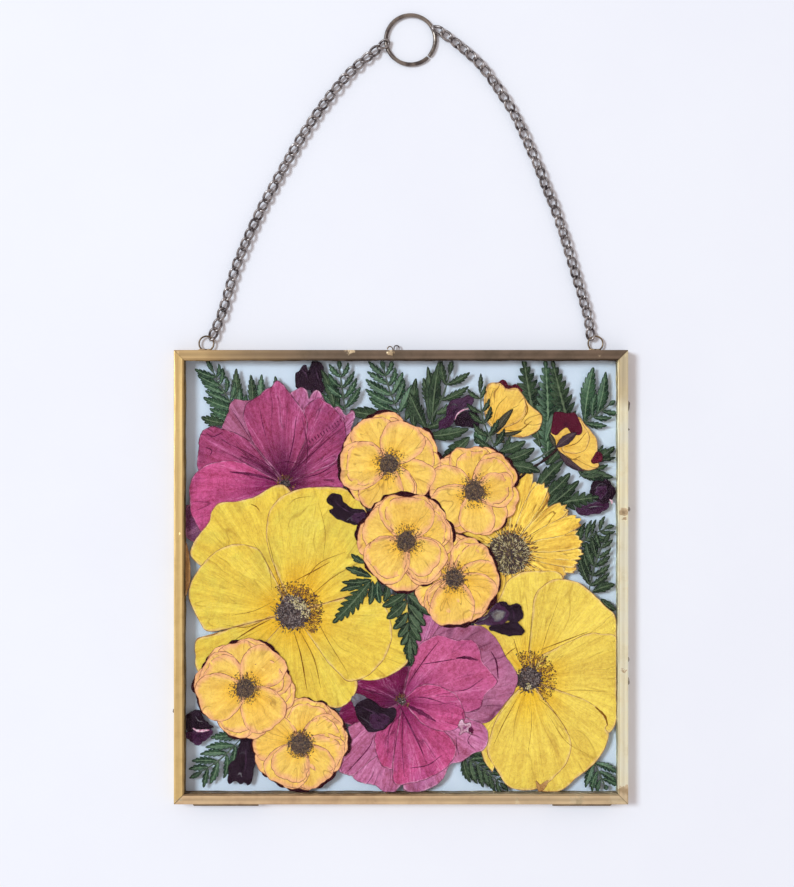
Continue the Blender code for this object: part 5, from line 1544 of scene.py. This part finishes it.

# dark florets: patches of their own outline, strips for stems, and paler strips painted on as highlights
# along edges that catch the light
florets = {
    "purple_floret_top_left": dict(patches=[
        ("purpleBlack", [(-47.6, 88), (-47.8, 91), (-46, 92.4), (-43.6, 95), (-42.2, 94.6), (-42.6, 92.8),
            (-40.6, 93), (-40, 96.6), (-37, 96.8), (-35, 94.6), (-36, 88.6), (-39, 84), (-45.8, 84.2)]),
        ("purpleBlack", [(-39.6, 96.4), (-36.4, 96.6), (-34.8, 92.6), (-35.6, 88), (-33.8, 84.2),
            (-37.4, 82), (-40.4, 83.4), (-38.6, 88.8)])],
        strips=[("violet", [(-44.6, 93), (-42.6, 90.6), (-42, 87.4)], 0.8),
                ("violet", [(-38.4, 94.4), (-37.8, 91), (-36.6, 87.6)], 0.7)]),
    "purple_floret_top_right": dict(patches=[
        ("purpleBlack", [(24.9, 71.3), (27.6, 74), (31.3, 74.5), (34.9, 72.2), (34.9, 67.6), (29.5, 67),
            (24.9, 67.6)]),
        ("violet", [(20.8, 76.8), (23.1, 79), (27, 80.4), (31.7, 82.2), (31.9, 77.7), (27.6, 74.9),
            (24.4, 70.8), (22.6, 67.6), (17.6, 65.8), (16.7, 69.5), (20.3, 72.2)])],
        strips=[("paintedHighlightPink", [(24.2, 70.4), (25.2, 72.7), (27.6, 74.6), (31.4, 75.6)], 0.7),
                ("greyViolet", [(21.8, 76.6), (24, 77.4), (25.6, 76.2)], 0.5)]),
    "purple_floret_middle_left": dict(patches=[
        ("purpleBlack", [(-33, 35.6), (-31.2, 37.4), (-28.4, 37), (-26.6, 35.6), (-25.7, 33.3), (-21.6, 31),
            (-16.1, 29.2), (-16, 23.3), (-23.4, 23.6), (-26.2, 24.7), (-30.3, 27.4), (-32.1, 29.7),
            (-30.3, 31), (-33.2, 32.6)]),
        ("violet", [(-22, 27.6), (-18.6, 29), (-16, 28.6), (-15.8, 24.2), (-19, 24.2), (-22.6, 25)])],
        strips=[("violet", [(-30.6, 34.6), (-26, 30.6), (-21, 28)], 0.7),
                ("greyViolet", [(-24.6, 25), (-22.6, 26.4), (-21.6, 24.8)], 0.5)]),
    "purple_floret_middle_right": dict(patches=[
        ("violet", [(33, -21), (38, -17), (41, -13.4), (44.6, -11.8), (48, -13), (49, -17), (47, -20.6),
            (42, -22.4), (37, -21.6)]),
        ("purpleBlack", [(39.6, -22.6), (46, -21), (50, -19.8), (53.6, -22), (55.8, -24.8), (53, -26.4),
            (47, -26.2), (42, -25)]),
        ("purpleBlack", [(43.6, -11.6), (47, -11.2), (49, -13), (52.5, -12), (54.5, -14.5), (54.3, -19),
            (50, -20.6), (47.4, -19), (48.6, -15.6)]),
        ("paleSheen", [(40.4, -16.6), (43.4, -14.6), (46.6, -15.8), (46.2, -18.6), (43.4, -20.2),
            (41, -19)])],
        strips=[("greyViolet", [(34.4, -20.4), (38.6, -18.2), (41, -15.4)], 0.8),
                ("violet", [(49.4, -14.4), (50.6, -16.4), (50.4, -19)], 0.9)]),
    "purple_floret_right": dict(patches=[
        ("violet", [(78.6, 30), (83, 32.4), (88.6, 33.4), (93.4, 32.8), (93, 30), (86.8, 28), (81, 27.2)]),
        ("purpleBlack", [(85.8, 36), (84.6, 39.2), (86.6, 42.4), (91.2, 44), (94.6, 42), (96.2, 38.4),
            (94.4, 34), (90.2, 32.6)]),
        ("violet", [(87, 36.4), (88.4, 40), (91.8, 41), (92.6, 37.6), (90.4, 35)])],
        strips=[("greyViolet", [(82, 30.4), (87, 31.4), (91.4, 31.2)], 0.6),
                ("paintedHighlightPink", [(93.6, 34.6), (94.8, 33.6), (94.6, 32.4)], 0.9),
                ("greyViolet", [(87.2, 39.4), (89.6, 41.6), (92.6, 41.2)], 0.5)]),
    "purple_floret_lower_middle": dict(patches=[
        ("greyViolet", [(-22, -53.8), (-18, -52.6), (-14.6, -55.4), (-13.6, -60), (-17.4, -61.4),
            (-21.2, -58.4)]),
        ("purpleBlack", [(-19.6, -57), (-14, -54.8), (-8.6, -58.4), (-2.6, -59.6), (-3.2, -64.6),
            (-8.2, -68.8), (-13.6, -69.6), (-17.4, -66.4), (-20.4, -62.4)]),
        ("violet", [(-14, -62), (-9, -61.4), (-4.6, -63.6), (-8, -68), (-13, -68.2)])],
        strips=[("violet", [(-17.6, -58.4), (-13, -60.6), (-8.6, -62.6)], 0.9),
                ("greyViolet", [(-18.8, -62.6), (-15, -65), (-12.4, -68)], 0.5)]),
    "purple_floret_lower_left": dict(patches=[
        ("violet", [(-96.4, -69.8), (-90, -69), (-84.4, -69.3), (-86.3, -72.7), (-91.6, -75.6),
            (-96, -73.2)]),
        ("purpleBlack", [(-96.4, -62.1), (-90.7, -60.1), (-89.2, -62.1), (-86.3, -66.4), (-84.4, -67.9),
            (-92.1, -69.2), (-96.4, -68.8)])],
        strips=[("paintedHighlightPink", [(-93.6, -68.2), (-91, -69.4), (-86, -69)], 1.2),
                ("greyViolet", [(-92.6, -62.6), (-91, -64.8), (-88.6, -65.2)], 0.6)]),
    "purple_floret_bottom": dict(patches=[
        ("purpleBlack", [(-74.2, -81.9), (-72.3, -73.2), (-67.4, -71.3), (-66.4, -78.5), (-64.5, -81),
            (-66, -87.8), (-68.4, -93.6), (-70.4, -92.4), (-72.3, -93.6), (-74.6, -92.2), (-77.6, -93.3),
            (-77.6, -86.3), (-76.1, -83.4)])],
        strips=[("greyViolet", [(-73.6, -89.4), (-72.2, -88.4), (-71.6, -90.2)], 0.9),
                ("violet", [(-70, -76.4), (-69.6, -83), (-70.6, -89.6)], 0.9),
                ("greyViolet", [(-72.6, -80), (-71, -79), (-69.8, -80.2)], 0.5)]),
}


def makeFloret(node, look):
    sheets = Sheets()
    heights = stack(node, len(look["patches"]) + 2)
    for k, (paintName, outline) in enumerate(look["patches"]):
        addPatch(sheets, outline, heights[k], paintName, k + len(node), ripple=0.5)
    for k, (paintName, points, width) in enumerate(look["strips"]):
        addStrip(sheets, points, width, heights[-1], paintName, seed=k)
    finishFlower(node, node.replace("purple", "dark"), sheets)


for node, look in florets.items():
    makeFloret(node, look)
print("buds and florets made")


# fronds of toothed leaflets on a pale stem, and a few loose leaves:
# base, tip, bend, pairs, left reach, right reach, then the leaves' look
fronds = {
    "fern_top_left": [((-68, 66), (-87.6, 98.2), 1, 7, 13.4, 9, "fernGlossy")],
    "fern_top_stem": [((-25, 73.8), (-28.2, 97.5), 0, 4, 10, 10, "fernGlossy")],
    "fern_top_middle": [((-0.4, 72), (-8.6, 98), 1, 5, 13, 11, "fernGlossy")],
    "fern_top_right": [((10.3, 64.8), (23.2, 97.5), -2, 4, 15, 14, "fernLeaf")],
    "fern_above_roses": [((46, 50.5), (35.8, 91.2), 4, 6, 9, 9, "fernLeaf")],
    "fern_corner_right": [((81.4, 68.4), (96.4, 79), 0, 3, 11, 9, "fernGlossy")],
    "fern_by_bud": [((80, 44.5), (95.9, 58.5), 0, 3, 8, 8, "fernLeaf")],
    "fern_right_small": [((76.4, 10.2), (96, 22.7), 2, 5, 9, 9, "fernLeaf")],
    "fern_right_edge": [((84.5, -6), (93.8, 19.7), 1.5, 5, 11, 9, "fernLeaf")],
    "fern_corner_low": [((86.7, -83.1), (92.5, -96.1), 0, 3, 10, 9, "fernGlossy")],
    "fern_bottom": [((26.4, -79.6), (48.3, -96.6), 1, 6, 11, 10, "fernLeaf")],
    "fern_bottom_left": [((-69.7, -70.6), (-95.2, -90.7), 2, 5, 12, 13, "fernGlossy")],
    "fern_hanging": [((2.8, -7.1), (4.4, -40.4), 1, 0, 15, 15, "fernLeaf")],
}
looseLeaves = {  # base, tip, width, teeth, tooth depth, and a look where it isn't fernLeaf
    "fern_top_left": [
        ((-71.6, 74), (-74, 93.4), 5.4, 8, 0.28),
        ((-66.6, 74), (-67.6, 90.6), 4.8, 7, 0.28),
        ((-61.6, 74), (-62.6, 90.8), 4.6, 7, 0.28, "fernGlossy"),
        ((-56.6, 76), (-56.6, 90), 4.4, 6, 0.28),
        ((-79, 69), (-89.8, 71.6), 5.6, 5, 0.34)],
    "fern_top_stem": [
        ((-27.7, 76), (-31.7, 90.8), 5.8, 4, 0.16),
        ((-30, 76), (-36, 93), 5, 4, 0.2)],
    "fern_top_middle": [
        ((-7, 72), (-23, 74.6), 7, 5, 0.2),
        ((2, 70), (6.8, 86), 5.6, 4, 0.2)],
    "fern_top_right": [
        ((6, 66), (6.7, 89), 6, 5, 0.22),
        ((12.6, 70), (12, 94.3), 5.2, 5, 0.2),
        ((14, 68), (17.6, 97.5), 6, 5, 0.16)],
    "fern_above_roses": [
        ((30.8, 62.6), (17.9, 52.3), 7, 5, 0.25),
        ((11.6, 63), (30.4, 66.2), 6.6, 5, 0.2),
        ((33, 65), (37, 60), 7.6, 3, 0.08, "fernGlossy"),
        ((46, 52), (60, 57.6), 6, 4, 0.16),
        ((47, 50), (62.6, 47), 6.4, 4, 0.2),
        ((44, 56), (56, 60.8), 5.6, 4, 0.16)],
    "fern_behind_buds": [
        ((62.6, 58), (55.2, 97.4), 13, 11, 0.62),
        ((65.6, 50), (64.8, 97.4), 12, 13, 0.62, "fernGlossy"),
        ((78.6, 58), (68, 97.2), 11, 11, 0.6),
        ((65.6, 50), (74, 62), 6, 4, 0.2),
        ((65, 60), (72, 76), 6, 4, 0.2, "fernGlossy")],
    "fern_corner_right": [
        ((82.6, 70.4), (86.5, 94), 7.4, 9, 0.24, "fernGlossy"),
        ((88, 72.4), (92, 92), 5, 7, 0.18, "fernGlossy")],
    "fern_by_bud": [
        ((84, 50), (96.2, 57.6), 5.6, 4, 0.25),
        ((80, 48), (95.4, 44.6), 5.4, 4, 0.2)],
    "fern_behind_daisy": [
        ((61, 31), (89, 35.6), 9.6, 9, 0.58),
        ((62, 34), (76, 46.4), 7, 5, 0.25),
        ((60, 38), (73, 52), 7, 5, 0.25),
        ((64, 30), (80, 43), 6.6, 5, 0.25)],
    "fern_right_edge": [
        ((86, -7), (96.2, -3.6), 5, 4, 0.2),
        ((90, -10), (96.6, -15), 4.6, 4, 0.2)],
    "fern_over_yellow": [
        ((-16, 6), (-22.4, 10.2), 3.4, 3, 0.25),
        ((-13.4, -0.2), (-25, 3.9), 4.4, 4, 0.24),
        ((-13.2, -1.4), (-26.6, -2.4), 4, 4, 0.24),
        ((-16.4, -4.4), (-27.4, -6.6), 3.6, 3, 0.24),
        ((-12.8, -2), (-14.2, -12.7), 4.4, 3, 0.24),
        ((-10.2, -1.6), (-9.4, -12), 4.8, 3, 0.24, "fernGlossy"),
        ((-6, -3), (-7.6, -11.4), 4.2, 3, 0.24),
        ((-15.4, -3.8), (-19.4, -13.4), 4.2, 3, 0.24),
        ((-13.6, -1.8), (-30.6, -20.9), 8.6, 8, 0.5)],
    "fern_hanging": [
        ((2.6, -6.6), (-8.4, -13.4), 5.8, 3, 0.22),
        ((3, -6.8), (13.4, -11.6), 5.4, 3, 0.22),
        ((2.7, -10.6), (-6.4, -18.9), 6, 3, 0.22),
        ((3, -8), (14.4, -17.2), 6.6, 3, 0.22),
        ((3, -16), (-3.5, -23.5), 5.2, 3, 0.24),
        ((3.1, -12), (11, -22.1), 6.2, 3, 0.22),
        ((3.3, -20.4), (-1.3, -27.2), 4.6, 2, 0.24),
        ((3.4, -16.4), (9.3, -25.3), 5.4, 3, 0.24),
        ((3.6, -24.4), (-0.2, -30.8), 4, 2, 0.24),
        ((3.6, -20.6), (8.9, -29), 4.8, 2, 0.24),
        ((4, -28.4), (1.1, -33.8), 3.6, 2, 0.24),
        ((3.9, -25), (7.5, -32.4), 4.2, 2, 0.24),
        ((4.1, -29), (6.5, -35.6), 3.6, 2, 0.24),
        ((4.1, -27), (4.4, -39.6), 4.4, 5, 0.34)],
}
leafSizes = {"width": 0.35, "lean": 42, "toothPitch": 2.1, "toothDepth": 0.34, "stemWidth": 0.75}


def addFrond(sheets, z, base, tip, bend, pairs, leftReach, rightReach, look, seed):
    rnd = random.Random(seed)
    base, tip = np.array(base), np.array(tip)
    way = tip - base
    length = np.linalg.norm(way)
    out = way / length
    left = np.array((-out[1], out[0]))

    def spot(v):
        return base + way * v + left * bend * 4 * v * (1 - v)

    for k in range(pairs):
        v = 0.06 + 0.8 * k / pairs
        wide = leafSizes["width"] * (1.7 if leftReach < 7 else 1.0)
        for side, reach in ((1, leftReach), (-1, rightReach)):
            start = spot(v + rnd.uniform(-0.015, 0.015))
            turn = math.radians(leafSizes["lean"] + rnd.uniform(-6, 6) - 8 * v) * side
            ahead = out * math.cos(turn) + left * math.sin(turn)
            full = reach / math.sin(math.radians(leafSizes["lean"])) * 0.86
            size = full * (1 - 0.55 * v) * rnd.uniform(0.9, 1.06)
            addLeaf(sheets, start, start + ahead * size, size * wide * rnd.uniform(0.9, 1.1),
                    z + 0.02 + rnd.uniform(0, 0.05), look, max(3, round(size / leafSizes["toothPitch"])),
                    leafSizes["toothDepth"], side * rnd.uniform(0.2, 0.9), seed + k)
    start = spot(0.8)
    addLeaf(sheets, start, tip, max(2.6, 0.11 * (leftReach + rightReach)), z + 0.07, look, 5, 0.25, 0, seed)
    addStrip(sheets, [spot(0), spot(0.5), spot(0.92)], leafSizes["stemWidth"], z + 0.085, "stem", 0.5)


for number, node in enumerate(sorted(set(fronds) | set(looseLeaves))):
    sheets = Sheets()
    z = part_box(node)[0].z / mm + 0.015
    for k, frond in enumerate(fronds.get(node, [])):
        addFrond(sheets, z, *frond, seed=number * 11 + k)
    for k, (base, tip, width, teeth, depth, *look) in enumerate(looseLeaves.get(node, [])):
        addLeaf(sheets, base, tip, width, z + 0.03 + 0.012 * k, *(look or ["fernLeaf"]), teeth, depth,
                0.6 * (-1) ** k, number + k)
    finishFlower(node, node.replace("fern", "fern_leaves"), sheets)
print("fern made")
